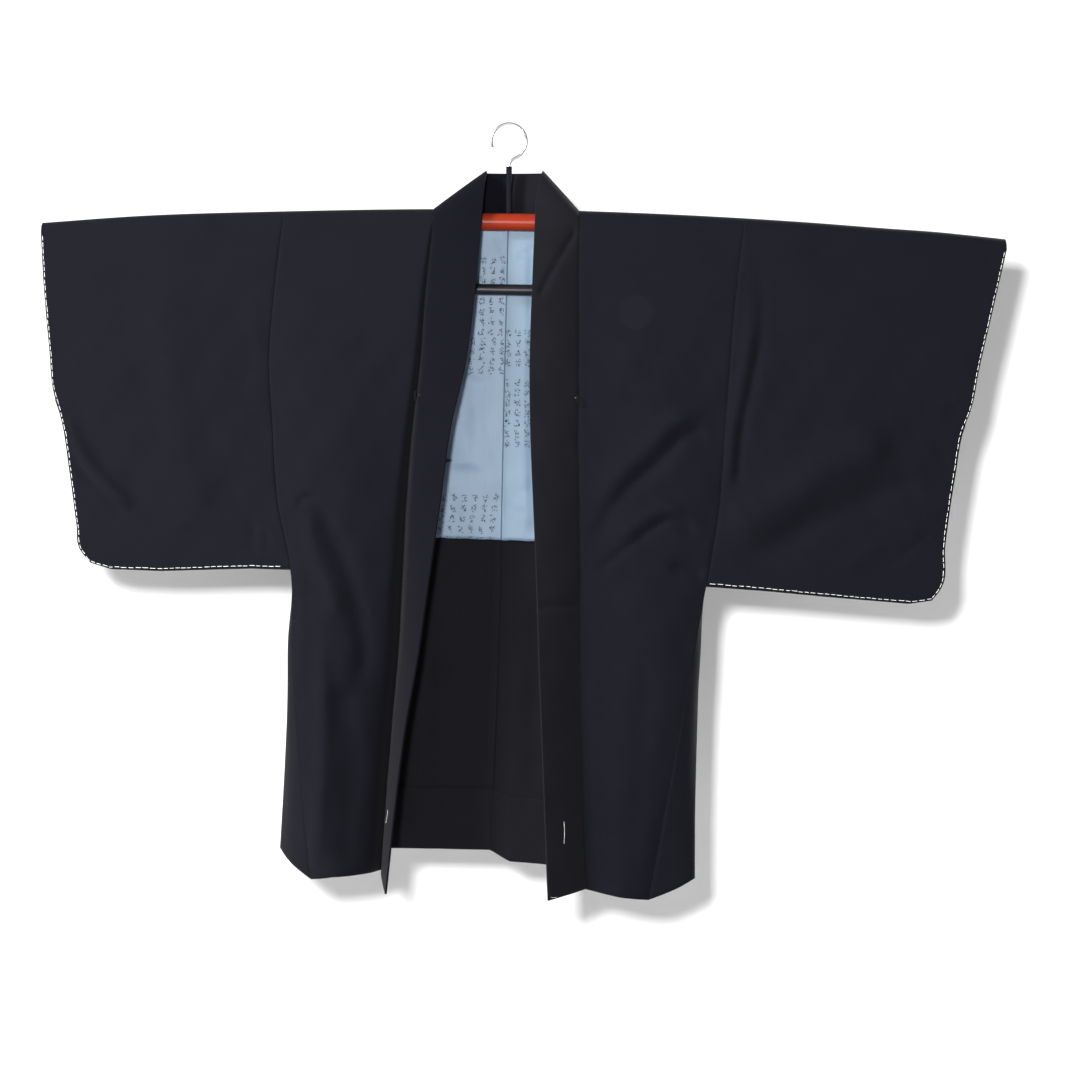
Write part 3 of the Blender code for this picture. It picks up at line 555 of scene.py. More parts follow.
def crease_relief(creases, x, z):
    """Sum of the ridges and hollows at places of a layer."""
    relief = np.zeros(np.shape(x))
    for row in creases:
        crease = dict(zip(CREASE_COLUMNS, row))
        path = rounded(crease["path"])
        nearest = np.full(np.shape(x), np.inf)
        along = np.zeros(np.shape(x))
        for step, (start, end) in enumerate(zip(path[:-1], path[1:])):
            way = end - start
            length = math.hypot(*way)
            way = way / length
            reach = (x - start[0]) * way[0] + (z - start[1]) * way[1]
            reach = np.clip(reach, 0.0, length)
            away = np.hypot(x - start[0] - way[0] * reach, z - start[1] - way[1] * reach)
            closer = away < nearest
            nearest = np.where(closer, away, nearest)
            along = np.where(closer, (step + reach / length) / (len(path) - 1), along)
        fade = ease(np.minimum(along, 1.0 - along) / crease["fade"])
        relief += crease["height"] * fade * np.exp(-(nearest / crease["width"]) ** 2)
    return relief


def flutter(x, z, turn):
    relief = np.zeros(np.shape(x))
    for across, down, height in FLUTTER:
        relief += height * np.sin(2 * math.pi * (across * x + down * z) + turn * across)
    return relief


def arc_z(x):
    """Height of the centre of the shoulder fold."""
    return smooth(x, SHOULDER["x"], SHOULDER["z"]) - CLOTH / 2 - FOLD_RADIUS


def fall_z(x, level, hem):
    foot = np.interp(x, SLEEVE_FOOT["x"], SLEEVE_FOOT["z"])
    upper = mix(arc_z(x), foot, level)
    lower = mix(foot, np.interp(x, hem["x"], hem["z"]), level - 1.0)
    return np.where(level <= 1.0, upper, lower)


def settle(level):
    """Folds start below the shoulder, where the cloth leaves the hanger."""
    return np.clip(level / SETTLE_LEVELS, 0.0, 1.0) ** 2


def seam_sink(distance):
    """How far cloth dips beside a seam at that distance."""
    return SEAM_DIP * np.exp(-(distance / SEAM_ROLL) ** 2)


def armhole_sink(distance, level):
    """The dip beside an armhole or side seam, none at the fold and at the sleeve's foot."""
    hold = ease((1.0 - level) / SINK_FROM_FOOT) * ease(level / SINK_FROM_FOLD)
    return seam_sink(distance) * hold


def points(x, y, z):
    return np.stack(np.broadcast_arrays(x, y, z), axis=-1)


def front_layer(half, level, across):
    """Middle of the front cloth, from the side edge (0) to the band seam (1)."""
    side_x = by_level(half, "front_side_x", level)
    seam_x = by_level(half, "seam_x", level)
    x = mix(side_x, seam_x, across)
    z = fall_z(x, level, FRONT_HEM)
    y = mix(by_level(half, "front_side_y", level), by_level(half, "seam_y", level), across)
    bulge = np.sin(math.pi * across) * (BELLY_AT_SIDE - BELLY_FALL * across)
    y = y - by_level(half, "front_belly", level) * bulge
    relief = crease_relief(FRONT_CREASES, x, z) + flutter(x, z, FRONT_TURN)
    y = y - relief * settle(level) * (1.0 - across ** BAND_HOLD)
    y = y + armhole_sink(np.abs(x - side_x), level)
    return points(x, y + valley(half, level, np.abs(x - seam_x)), z)


def valley(half, level, distance):
    """Depth of the crevice beside the band seam, at that distance from the seam."""
    width = by_level(half, "valley_width", level)
    depth = by_level(half, "valley_depth", level) * ease(level / SINK_FROM_FOLD)
    return depth * np.exp(-(distance / width) ** 2)


def back_y(half, level, x, z):
    """Depth of the back cloth at places of it."""
    side_x = by_level(half, "back_side_x", level)
    centre_x = smooth(level, CENTRE_BACK["level"], CENTRE_BACK["x"])
    share = np.clip((x - side_x) / (centre_x - side_x), 0.0, 1.0)
    centre_y = smooth(level, CENTRE_BACK["level"], CENTRE_BACK["y"])
    y = mix(by_level(half, "back_side_y", level), centre_y, np.sin(share * math.pi / 2))
    y = y + by_level(half, "back_belly", level) * np.sin(math.pi * share) * BACK_BELLY_SHARE
    relief = crease_relief(BACK_CREASES, x, z) + flutter(x, z, BACK_TURN)
    hold = mix(CENTRE_HOLD, 1.0, ease((1.0 - share) / CENTRE_HOLD_REACH))
    hold = hold * np.sin(math.pi * np.minimum(share, 0.5))
    y = y + relief * settle(level) * hold
    step = np.clip((x - centre_x) / CENTRE_STEP_WIDTH, 0.0, 1.0)
    y = y - by_level(half, "centre_step", level) * ease(step)
    centre_sink = seam_sink(np.abs(x - centre_x)) * CENTRE_SINK_SHARE
    return y - armhole_sink(np.abs(x - side_x), level) - centre_sink * ease(level / SINK_FROM_FOLD)


def back_layer(half, level, across, gap=CENTRE_GAP):
    """Middle of the back cloth: side edge 0, neck line 1, centre back seam 2."""
    side_x = by_level(half, "back_side_x", level)
    neck_x = half["seam_x"][0]
    centre_x = smooth(level, CENTRE_BACK["level"], CENTRE_BACK["x"])
    centre_x = centre_x + half["sign"] * gap / 2
    x = np.where(across <= 1.0, mix(side_x, neck_x, across), mix(neck_x, centre_x, across - 1.0))
    z = fall_z(x, level, BACK_HEM)
    return points(x, back_y(half, level, x, z), z)


def fold_layer(x, turn):
    """Middle of the cloth on the shoulder fold; turn runs from 0 in front to 1 behind."""
    angle = math.pi * turn
    return points(x, -FOLD_RADIUS * np.cos(angle), arc_z(x) + FOLD_RADIUS * np.sin(angle))


def over_fold(front, back):
    """Front, shoulder fold and back as one grid."""
    turns = np.arange(1, FOLD_STEPS)[:, None] / FOLD_STEPS
    fold = fold_layer(front[-1][None, :, 0], turns)
    return np.concatenate([front, fold, back])


def sleeve_layer(half, sleeve, face, down, across):
    """Middle of a sleeve layer (face -1 front, +1 back), armhole 0 to outer edge 1."""
    side = "front_side" if face < 0 else "back_side"
    seam_x = by_level(half, side + "_x", down)
    inner_x = seam_x + half["sign"] * mix(ARMHOLE_GAP_TOP, ARMHOLE_GAP_FOOT, down)
    outer_x = smooth(down, sleeve["down"], sleeve["outer_x"])
    x = mix(inner_x, outer_x, across)
    lift = CORNER_LIFT * np.maximum(0.0, 1.0 - (1.0 - across) / CORNER_REACH)
    z = fall_z(x, down, FRONT_HEM) + lift * down ** CORNER_SHARPNESS
    outer_y = smooth(down, sleeve["down"], sleeve["outer_y"])
    y = mix(np.abs(by_level(half, side + "_y", down)), outer_y, across)
    y = y + SLEEVE_BELLY * np.sin(math.pi * across) * np.sin(math.pi * down)
    creases, turn = (FRONT_CREASES, FRONT_TURN) if face < 0 else (BACK_CREASES, BACK_TURN)
    relief = crease_relief(creases, x, z) + flutter(x, z, turn)
    y = y + relief * settle(down) * (1.0 - across ** CUFF_HOLD) * (1.0 - down ** FOOT_HOLD)
    y = np.maximum(y, outer_y * LEAST_SLEEVE_DEPTH)
    return points(x, face * (y - armhole_sink(np.abs(x - seam_x), down)), z)


def grid_faces(rows, columns, used=None):
    """Quads of a grid as point numbers, all of them or only the used cells."""
    row, column = np.meshgrid(np.arange(rows - 1), np.arange(columns - 1), indexing="ij")
    if used is not None:
        kept = used(row, column)
        row, column = row[kept], column[kept]
    corner = (row * columns + column).ravel()
    return np.stack([corner, corner + 1, corner + columns + 1, corner + columns], axis=1)


def rim_edges(faces):
    """Edges with a face on one side only, in that face's own direction."""
    sides = np.concatenate([faces[:, [i, (i + 1) % 4]] for i in range(4)])
    known = set(map(tuple, sides.tolist()))
    return [(a, b) for a, b in sides.tolist() if (b, a) not in known]


def shell(name, places, uv, faces, wall, material, inside=None):
    """Closed cloth: the wall laid half on each side of the quads, with rounded edges."""
    faces = np.asarray(faces)
    kept = np.unique(faces)
    place_of = np.full(len(places), -1)
    place_of[kept] = np.arange(len(kept))
    faces = place_of[faces]
    places, uv = places[kept], uv[kept]
    a, b, c, d = (places[faces[:, i]] for i in range(4))
    face_normals = np.cross(c - a, d - b)
    normals = np.zeros_like(places)
    for i in range(4):
        np.add.at(normals, faces[:, i], face_normals)
    normals /= np.linalg.norm(normals, axis=1)[:, None] + 1e-12
    edges = rim_edges(faces)
    outward = {}
    for start, end in edges:
        side = np.cross(places[end] - places[start], normals[start])
        for corner in (start, end):
            outward[corner] = outward.get(corner, 0.0) + side
    rim = sorted(outward)
    count = len(places)
    rim_of = {corner: 2 * count + i for i, corner in enumerate(rim)}
    bulge = [places[i] + outward[i] / (np.linalg.norm(outward[i]) + 1e-12) * wall * RIM
             for i in rim]
    vertices = np.concatenate([places + normals * wall / 2, places - normals * wall / 2,
                               np.array(bulge).reshape(-1, 3)])
    skin = faces.tolist() + (faces[:, ::-1] + count).tolist()
    for start, end in edges:
        skin.append((end, start, rim_of[start], rim_of[end]))
        skin.append((rim_of[end], rim_of[start], start + count, end + count))
    mesh = bpy.data.meshes.new(name)
    mesh.from_pydata(vertices.tolist(), [], skin)
    all_uv = np.concatenate([uv, uv, uv[rim]])
    corners = np.zeros(len(mesh.loops), np.int32)
    mesh.loops.foreach_get("vertex_index", corners)
    layer = mesh.uv_layers.new(name="cloth")
    layer.data.foreach_set("uv", all_uv[corners].astype(np.float32).ravel())
    mesh.shade_smooth()
    item = place_object(name, mesh, material)
    if inside is not None:
        mesh.materials.append(inside)
        looks = np.zeros(len(mesh.polygons), np.int32)
        looks[:len(faces)] = inside_first(places, normals)
        looks[len(faces):2 * len(faces)] = 1 - looks[:len(faces)]
        mesh.polygons.foreach_set("material_index", looks)
    return item


def inside_first(places, normals):
    """1 where the first skin of a bag-like piece faces the inside, else 0."""
    away = places - places.mean(axis=0)
    return int((normals[:, 1] * away[:, 1]).sum() < 0.0)


def place_object(name, data, material):
    data.materials.append(material)
    item = bpy.data.objects.new(name, data)
    bpy.context.scene.collection.objects.link(item)
    return item


def grid_uv(grid):
    """Metres across and along the cloth at each point of a grid."""
    steps = np.linalg.norm(np.diff(grid, axis=0), axis=2)
    along = np.concatenate([np.zeros((1, grid.shape[1])), np.cumsum(steps, axis=0)])
    steps = np.linalg.norm(np.diff(grid, axis=1), axis=2)
    across = np.concatenate([np.zeros((grid.shape[0], 1)), np.cumsum(steps, axis=1)], axis=1)
    return np.stack([across, along], axis=2)


def grid_shell(name, grid, wall, material, used=None, inside=None):
    rows, columns = grid.shape[:2]
    return shell(name, grid.reshape(-1, 3), grid_uv(grid).reshape(-1, 2),
                 grid_faces(rows, columns, used), wall, material, inside)


def spread(start, end, count, tight=0.0):
    """Shares from start to end, closer together at both ends."""
    even = np.linspace(0.0, 1.0, count)
    eased = even - tight * np.sin(2 * math.pi * even) / (2 * math.pi)
    return start + (end - start) * eased


def all_levels():
    upper = np.linspace(0.0, 1.0, UPPER_ROWS)
    lower = np.linspace(1.0, 2.0, LOWER_ROWS)
    return np.concatenate([upper, lower[1:]])


def body_half(name, half, material, inside):
    """One cut from the front hem over the shoulder to the back hem, with the neck cut out."""
    chest = spread(0.0, 1.0, *CHEST_COLUMNS)
    neck = spread(1.0, 2.0, *NECK_COLUMNS)[1:]
    across = np.concatenate([chest, neck])[None, :]
    levels = all_levels()[:, None]
    front = front_layer(half, levels[::-1], np.minimum(across, 1.0))
    grid = over_fold(front, back_layer(half, levels, across))
    neck_row = len(front) + FOLD_STEPS - 1
    neck_column = len(chest) - 1
    return grid_shell(name, grid, CLOTH, material,
                      lambda row, column: (column < neck_column) | (row >= neck_row), inside)


def sleeve(name, half, table, material):
    """A bag folded at the top, closed at the foot and below the cuff's open part."""
    across = spread(0.0, 1.0, *SLEEVE_COLUMNS)[None, :]
    levels = np.linspace(0.0, 1.0, UPPER_ROWS)[:, None]
    grid = over_fold(sleeve_layer(half, table, -1, levels[::-1], across),
                     sleeve_layer(half, table, 1, levels, across))
    rows, columns = grid.shape[:2]
    uv = grid_uv(grid).reshape(-1, 2)
    places = grid.reshape(-1, 3)
    faces = grid_faces(rows, columns).tolist()
    extra, extra_uv = [], []

    def between(start, end, sideways):
        """Points round the turn of an edge, from one layer to the other."""
        numbers = [start]
        for step in range(1, EDGE_STEPS):
            angle = math.pi * step / EDGE_STEPS
            share = (1.0 - math.cos(angle)) / 2
            place = mix(places[start], places[end], share)
            reach = np.linalg.norm(places[start] - places[end]) * EDGE_ROUND * math.sin(angle)
            extra.append(place + np.array(sideways) * reach)
            extra_uv.append(uv[start])
            numbers.append(len(places) + len(extra) - 1)
        return numbers + [end]

    last = (rows - 1) * columns
    foot = [between(column, last + column, (0.0, 0.0, -1.0)) for column in range(columns)]
    closed = int((levels >= CUFF_OPEN_DOWN).sum())
    outer = columns - 1
    edge = [foot[-1]]
    for step in range(1, closed):
        front_point = step * columns + outer
        back_point = (rows - 1 - step) * columns + outer
        edge.append(between(front_point, back_point, (half["sign"], 0.0, 0.0)))
    for lines in (foot, edge):
        for here, there in zip(lines[:-1], lines[1:]):
            for i in range(EDGE_STEPS):
                faces.append((here[i], here[i + 1], there[i + 1], there[i]))
    return shell(name, np.concatenate([places, np.array(extra)]),
                 np.concatenate([uv, np.array(extra_uv)]), faces, CLOTH, material)


def gusset(name, half, material):
    """The tapered strip between the front and back side edges, below the sleeve."""
    levels = np.linspace(1.0, 2.0, LOWER_ROWS)[:, None]
    front = front_layer(half, levels, np.zeros((1, 1)))[:, 0]
    back = back_layer(half, levels, np.zeros((1, 1)))[:, 0]
    front[0, 2] -= GUSSET_GAP
    back[0, 2] -= GUSSET_GAP
    way = back - front
    way /= np.linalg.norm(way, axis=1)[:, None]
    front = front + way * GUSSET_GAP
    back = back - way * GUSSET_GAP
    shares = np.linspace(0.0, 1.0, GUSSET_COLUMNS)[None, :, None]
    grid = mix(front[:, None], back[:, None], shares)
    bow = np.sin(math.pi * shares[..., 0]) * GUSSET_BOW * ease((levels - 1.0) / GUSSET_BOW_REACH)
    grid[..., 0] += half["sign"] * bow
    grid[..., 1] -= bow * GUSSET_BOW_FORWARD
    return grid_shell(name, grid, CLOTH, material)


def band_edge(half, level):
    """Free edge of the band in front, lifted where it nears the neck."""
    x = by_level(half, "edge_x", level)
    seam_x = by_level(half, "seam_x", level)
    z = fall_z(seam_x, level, FRONT_HEM) - by_level(half, "edge_drop", level)
    z = z + NECK_LIFT * np.maximum(0.0, 1.0 - level / NECK_LIFT_LEVELS) ** NECK_LIFT_CURVE
    return points(x, by_level(half, "edge_y", level), z)


def collar_edge(half, turn):
    """Free edge of the band over the shoulder, from the front (0) to the back (1)."""
    front = band_edge(half, np.zeros(1))[0]
    rise = np.sin(math.pi * np.minimum(turn, 0.5))
    x = mix(front[0], half["collar_corner_x"], rise)
    y = mix(front[1], COLLAR_TOP_Y - COLLAR_LEAN, (1.0 - np.cos(math.pi * turn)) / 2)
    return points(x, y, mix(front[2], COLLAR_TOP_Z, rise))


def band_rows(seam, edge):
    """Points across the band, bowed a little towards the front, clear of the seam."""
    way = edge - seam
    start = seam + way / np.linalg.norm(way, axis=1)[:, None] * BAND_SEAM_GAP
    shares = spread(0.0, 1.0, *BAND_COLUMNS)[None, :, None]
    rows = mix(start[:, None], edge[:, None], shares)
    rows[..., 1] -= BAND_BOW * np.sin(math.pi * shares[..., 0])
    return rows


def band(name, half, other, material):
    """Half of the collar band: up the front, over the shoulder, to the centre back."""
    levels = all_levels()[::-1]
    seam = front_layer(half, levels[:, None], np.ones((1, 1)))[:, 0]
    seam[:, 1] -= valley(half, levels, 0.0)
    front = band_rows(seam, band_edge(half, levels))
    away = np.linalg.norm(front - seam[:, None], axis=2)
    front[..., 1] += valley(half, levels[:, None], away)
    front[..., 1] -= crease_relief(BAND_CREASES, front[..., 0], front[..., 2])
    waves = flutter(front[..., 0], front[..., 2], BAND_TURN)
    front[..., 1] -= waves * settle(levels)[:, None] * BAND_FLUTTER
    turns = np.arange(1, FOLD_STEPS) / FOLD_STEPS
    neck_x = half["seam_x"][0]
    fold = band_rows(fold_layer(np.full(len(turns), neck_x), turns), collar_edge(half, turns))
    shares = np.linspace(0.0, 1.0, NECK_STEPS + 1)
    corner = collar_edge(half, np.ones(1))[0]
    middle_x = (half["collar_corner_x"] + other["collar_corner_x"]) / 2
    seam = back_layer(half, np.zeros((1, 1)), 1.0 + shares[None, :])[0]
    edge = points(mix(corner[0], middle_x + half["sign"] * CENTRE_GAP / 2, shares),
                  mix(corner[1], COLLAR_TOP_Y, shares), COLLAR_TOP_Z)
    nape = band_rows(seam, edge)
    nape[..., 1] -= crease_relief(COLLAR_CREASES, nape[..., 0], nape[..., 2])
    return grid_shell(name, np.concatenate([front, fold, nape]), BAND_CLOTH, material)


def inner_grid(half, levels, across, wall, gap=CENTRE_GAP):
    """Middle of a layer that lies on the inside of the back."""
    grid = back_layer(half, levels[:, None], across[None, :], gap)
    grid[..., 1] -= CLOTH / 2 + LAY_GAP + wall / 2
    return grid


def inner_columns(neck_columns):
    """Shares across the back, from near its side edge to the centre seam."""
    chest = spread(INNER_START, 1.0, *LINING_COLUMNS)
    return np.concatenate([chest, spread(1.0, 2.0, *neck_columns)[1:]])


def lining(name, half, material):
    """Pale lining of the shoulders, a little puffed, with a wavy lower edge."""
    levels = np.linspace(0.0, LINING_END, LINING_ROWS)
    across = inner_columns(LINING_NECK_COLUMNS)
    grid = inner_grid(half, levels, across, LINING_CLOTH, LINING_CENTRE_GAP)
    bumps = crease_relief(LINING_CREASES, grid[..., 0], grid[..., 2])
    grid[..., 1] -= np.maximum(bumps + LINING_PUFF, -LAY_GAP * LINING_LEAST_GAP)
    near = ease((levels - levels[-1] + LINING_WAVE_REACH) / LINING_WAVE_REACH)[:, None]
    for turns, start, share in EDGE_WAVES:
        grid[..., 2] += LINING_WAVE * share * near * np.sin(grid[..., 0] * turns + start)
    return grid_shell(name, grid, LINING_CLOTH, material)


def hem_facing(name, half, material):
    levels = np.linspace(FACING_START, 2.0, FACING_ROWS)
    grid = inner_grid(half, levels, inner_columns(FACING_NECK_COLUMNS), CLOTH)
    return grid_shell(name, grid, CLOTH, material)


def seam_allowance(name, half, material):
    """The turned edge beside the centre back seam, from the lining to the hem facing."""
    levels = np.linspace(LINING_END + ALLOWANCE_GAP, FACING_START - ALLOWANCE_GAP, ALLOWANCE_ROWS)
    across = np.linspace(ALLOWANCE_START, 2.0, ALLOWANCE_COLUMNS)
    return grid_shell(name, inner_grid(half, levels, across, CLOTH), CLOTH, material)


def thread_piece(name, runs, radius, material):
    """Round threads along several runs of points, as one curve."""
    curve = bpy.data.curves.new(name, "CURVE")
    curve.dimensions = "3D"
    curve.bevel_depth = radius
    curve.bevel_resolution = 1
    curve.use_fill_caps = True
    for run in runs:
        spline = curve.splines.new("POLY")
        spline.points.add(len(run) - 1)
        for point, place in zip(spline.points, run):
            point.co = (*place, 1.0)
    return place_object(name, curve, material)


def outside_of(item):
    """Finds a piece's surface from in front (-1) or from behind (+1)."""
    tree = BVHTree.FromPolygons([v.co for v in item.data.vertices],
                                [p.vertices for p in item.data.polygons])

    def hit(x, z, face):
        found = tree.ray_cast(Vector((x, face, z)), Vector((0.0, -face, 0.0)))
        return found[0].y if found[0] is not None else None

    return hit


def laid_on(hit, path, face, lift):
    """A path of (x, z) places set on a surface; places off the surface are left out."""
    laid = []
    for x, z in path:
        y = hit(x, z, face)
        if y is not None:
            laid.append((x, y + face * lift, z))
    return laid


def dashes(line, dash, gap, start):
    """Cuts a line of (x, z) places into stitches."""
    line = np.array(line)
    walked = walked_along(line)
    runs = []
    at = start
    dice = random.Random(DASH_SEED)
    while at + dash < walked[-1]:
        length = dash * dice.uniform(*DASH_SPREAD)
        where = np.linspace(at, at + length, DASH_POINTS)
        run = [(np.interp(w, walked, line[:, 0]), np.interp(w, walked, line[:, 1]))
               for w in where]
        runs.append(run)
        at += length + gap * dice.uniform(*GAP_SPREAD)
    return runs


def basting(name, half, table, bag, material):
    """White running stitch just inside the cuff and the foot, on both faces."""
    hit = outside_of(bag)
    down = 1.0 - BASTING_INSET / SLEEVE_HEIGHT
    across = 1.0 - BASTING_INSET / SLEEVE_REACH
    runs = []
    for face in (-1, 1):
        cuff = sleeve_layer(half, table, face, np.linspace(BASTING_TOP, down, CUFF_POINTS),
                            np.full(CUFF_POINTS, across))
        foot = sleeve_layer(half, table, face, np.full(FOOT_POINTS, down),
                            np.linspace(across, BASTING_END, FOOT_POINTS))
        line = np.concatenate([cuff, foot[1:]])[:, [0, 2]]
        dice = random.Random(SWAY_SEED + face)
        offset = 0.0 if face < 0 else BASTING_DASH
        for run in dashes(line, BASTING_DASH, BASTING_GAP, offset):
            shift = dice.uniform(-BASTING_SWAY, BASTING_SWAY)
            run = [(x + shift, z + shift) for x, z in run]
            laid = laid_on(hit, run, face, BASTING_RADIUS * BASTING_SINK)
            if len(laid) > 1:
                runs.append(laid)
    return thread_piece(name, runs, BASTING_RADIUS, material)


def tie_loop(name, half, material):
    """Half ring of cord standing forward of the band seam."""
    root = front_layer(half, np.full((1, 1), LOOP_LEVEL), np.ones((1, 1)))[0, 0]
    root[1] -= valley(half, LOOP_LEVEL, 0.0)
    path = []
    for angle in np.linspace(0.0, math.pi, LOOP_POINTS):
        reach = LOOP_CLEARANCE + LOOP_CORD + LOOP_RADIUS * math.sin(angle)
        path.append((root[0], root[1] - reach, root[2] + LOOP_RADIUS * math.cos(angle)))
    return thread_piece(name, [path], LOOP_CORD, material)


def brush_dab(middle, dice):
    """Short brush strokes about a place, as (place, angle, length, bend, half width)."""
    strokes = []
    for _ in range(dice.choice(STROKE_COUNTS)):
        x = middle[0] + dice.uniform(-0.5, 0.5) * DAB_WIDTH * DAB_FILL_ACROSS
        z = middle[1] + dice.uniform(-0.5, 0.5) * DAB_HEIGHT * DAB_FILL_DOWN
        angle = dice.choice(STROKE_ANGLES) + dice.uniform(-STROKE_TURN, STROKE_TURN)
        length = dice.uniform(*STROKE_LENGTH)
        bend = dice.uniform(-STROKE_BEND, STROKE_BEND)
        strokes.append(((x, z), angle, length, bend, dice.uniform(*STROKE_WIDTH)))
    return strokes


def stroke_sides(place, angle, length, bend, half_width):
    """Pairs of (x, z) places down the two sides of a bent, tapered stroke."""
    way = np.array([math.cos(angle), math.sin(angle)])
    side = np.array([-way[1], way[0]])
    pairs = []
    for share in np.linspace(-0.5, 0.5, STROKE_POINTS):
        middle = np.array(place) + way * length * share
        middle = middle + side * bend * math.cos(math.pi * share)
        reach = half_width * (1.0 - abs(share - STROKE_THICKEST) * STROKE_TAPER)
        pairs.append((middle + side * reach, middle - side * reach))
    return pairs


def dab_places(dice):
    """Middles of the dabs, block by block and column by column."""
    for row in DAB_BLOCKS:
        block = dict(zip(DAB_COLUMNS, row))
        for column in range(block["columns"]):
            for line in range(block["rows"]):
                x = block["x"] + column * block["pitch_x"] - block["lean"] * line / block["rows"]
                z = block["z"] - line * block["pitch_z"] + dice.uniform(-DAB_SHIFT, DAB_SHIFT)
                yield x, z


def lining_dabs(name, pieces, material):
    """Printed brush dabs and the small dark triangle, lying on the linings."""
    hits = [outside_of(piece) for piece in pieces]
    vertices, faces = [], []
    dice = random.Random(DAB_SEED)

    def surface(x, z):
        found = [hit(x, z, -1) for hit in hits]
        found = [y for y in found if y is not None]
        return min(found) - DAB_LIFT if found else None

    for middle in dab_places(dice):
        for stroke in brush_dab(middle, dice):
            sides = stroke_sides(*stroke)
            laid = [(place[0], surface(*place), place[1]) for pair in sides for place in pair]
            if any(y is None for _, y, _ in laid):
                continue
            first = len(vertices)
            vertices += laid
            for corner in range(first, first + 2 * (STROKE_POINTS - 1), 2):
                faces.append((corner, corner + 1, corner + 3, corner + 2))
    first = len(vertices)
    vertices += [(x, surface(x, z), z) for x, z in DARK_TRIANGLE]
    faces.append((first, first + 1, first + 2))
    mesh = bpy.data.meshes.new(name)
    mesh.from_pydata(vertices, [], faces)
    return place_object(name, mesh, material)


def new_material(name):
    material = bpy.data.materials.new(name)
    material.use_nodes = True
    tree = material.node_tree
    return material, tree, tree.nodes["Principled BSDF"]


def set_inputs(node, values):
    for socket, value in values.items():
        node.inputs[socket].default_value = value


def add_node(tree, kind, links=None, inputs=None, **settings):
    """A node with its settings, what is linked into it and its other inputs' values."""
    node = tree.nodes.new(kind)
    for key, value in settings.items():
        setattr(node, key, value)
    set_inputs(node, inputs or {})
    for socket, output in (links or {}).items():
        tree.links.new(output, node.inputs[socket])
    return node


def noise(tree, vector, scale, detail, stretch=None):
    if stretch is not None:
        mapping = add_node(tree, "ShaderNodeMapping", {"Vector": vector}, {"Scale": stretch})
        vector = mapping.outputs["Vector"]
    node = add_node(tree, "ShaderNodeTexNoise", {"Vector": vector},
                    {"Scale": scale, "Detail": detail})
    return node.outputs["Fac"]


def blend_sum(tree, first, second, weight):
    """first + weight * second."""
    node = add_node(tree, "ShaderNodeMath", {0: second, 2: first}, {1: weight},
                    operation="MULTIPLY_ADD")
    return node.outputs[0]


def ramp(tree, factor, stops):
    node = add_node(tree, "ShaderNodeValToRGB", {"Fac": factor})
    for element, (position, colour) in zip(node.color_ramp.elements, stops):
        element.position = position
        element.color = (*colour, 1.0)
    return node.outputs["Color"]


def scaled(colour, by):
    return tuple(channel * by for channel in colour)


def varied(tree, factor, limits, colour, vary):
    """The colour, a little darker where the factor is low and lighter where it is high."""
    shades = (scaled(colour, 1.0 - vary), scaled(colour, 1.0 + vary))
    return ramp(tree, factor, zip(limits, shades))


def weave(tree, vector, pitch):
    """Height of a plain weave: warp and weft waves at one pitch."""
    heights = []
    for direction in ("X", "Y"):
        node = add_node(tree, "ShaderNodeTexWave", {"Vector": vector},
                        {"Scale": math.pi / 10 / pitch, **WEAVE_UNEVEN},
                        bands_direction=direction)
        heights.append(node.outputs["Fac"])
    return blend_sum(tree, heights[0], heights[1], 1.0)


def finish_shader(tree, shader, colours, height, bump, values):
    """Links colours and bump into the shader and sets its other values."""
    node = add_node(tree, "ShaderNodeBump", {"Height": height},
                    dict(zip(("Strength", "Distance"), bump)))
    tree.links.new(node.outputs["Normal"], shader.inputs["Normal"])
    tree.links.new(colours, shader.inputs["Base Color"])
    set_inputs(shader, values)


def cloth_material(name, colour, crest=False):
    """Dull plain-woven cloth with uneven threads both ways."""
    material, tree, shader = new_material(name)
    place = add_node(tree, "ShaderNodeTexCoord")
    uv = place.outputs["UV"]
    slub = noise(tree, uv, *SLUB_ALONG)
    mixed = blend_sum(tree, noise(tree, uv, *CLOTH_CLOUD), slub, SLUB_SHARE)
    mixed = blend_sum(tree, mixed, noise(tree, uv, *SLUB_ACROSS), SLUB_SHARE)
    colours = varied(tree, mixed, CLOTH_RANGE, colour, CLOTH_VARY)
    if crest:
        colours = crest_over(tree, place.outputs["Object"], colours, colour)
    height = blend_sum(tree, weave(tree, uv, CLOTH_PITCH), slub, SLUB_HEIGHT)
    finish_shader(tree, shader, colours, height, CLOTH_BUMP, CLOTH_SHADER)
    return material


def crest_over(tree, place, colours, cloth):
    """A plain pale disc worked into the cloth on the front."""
    away = add_node(tree, "ShaderNodeVectorMath", {0: place}, {1: CREST_CENTRE},
                    operation="DISTANCE")
    edge = add_node(tree, "ShaderNodeMapRange", {"Value": away.outputs["Value"]},
                    {"From Min": CREST_RADIUS * (1.0 + CREST_EDGE),
                     "From Max": CREST_RADIUS * (1.0 - CREST_EDGE)},
                    interpolation_type="SMOOTHSTEP")
    over = add_node(tree, "ShaderNodeMix",
                    {"Factor": edge.outputs["Result"], "A": colours},
                    {"B": (*scaled(cloth, CREST_BRIGHTER), 1.0)}, data_type="RGBA")
    return over.outputs["Result"]


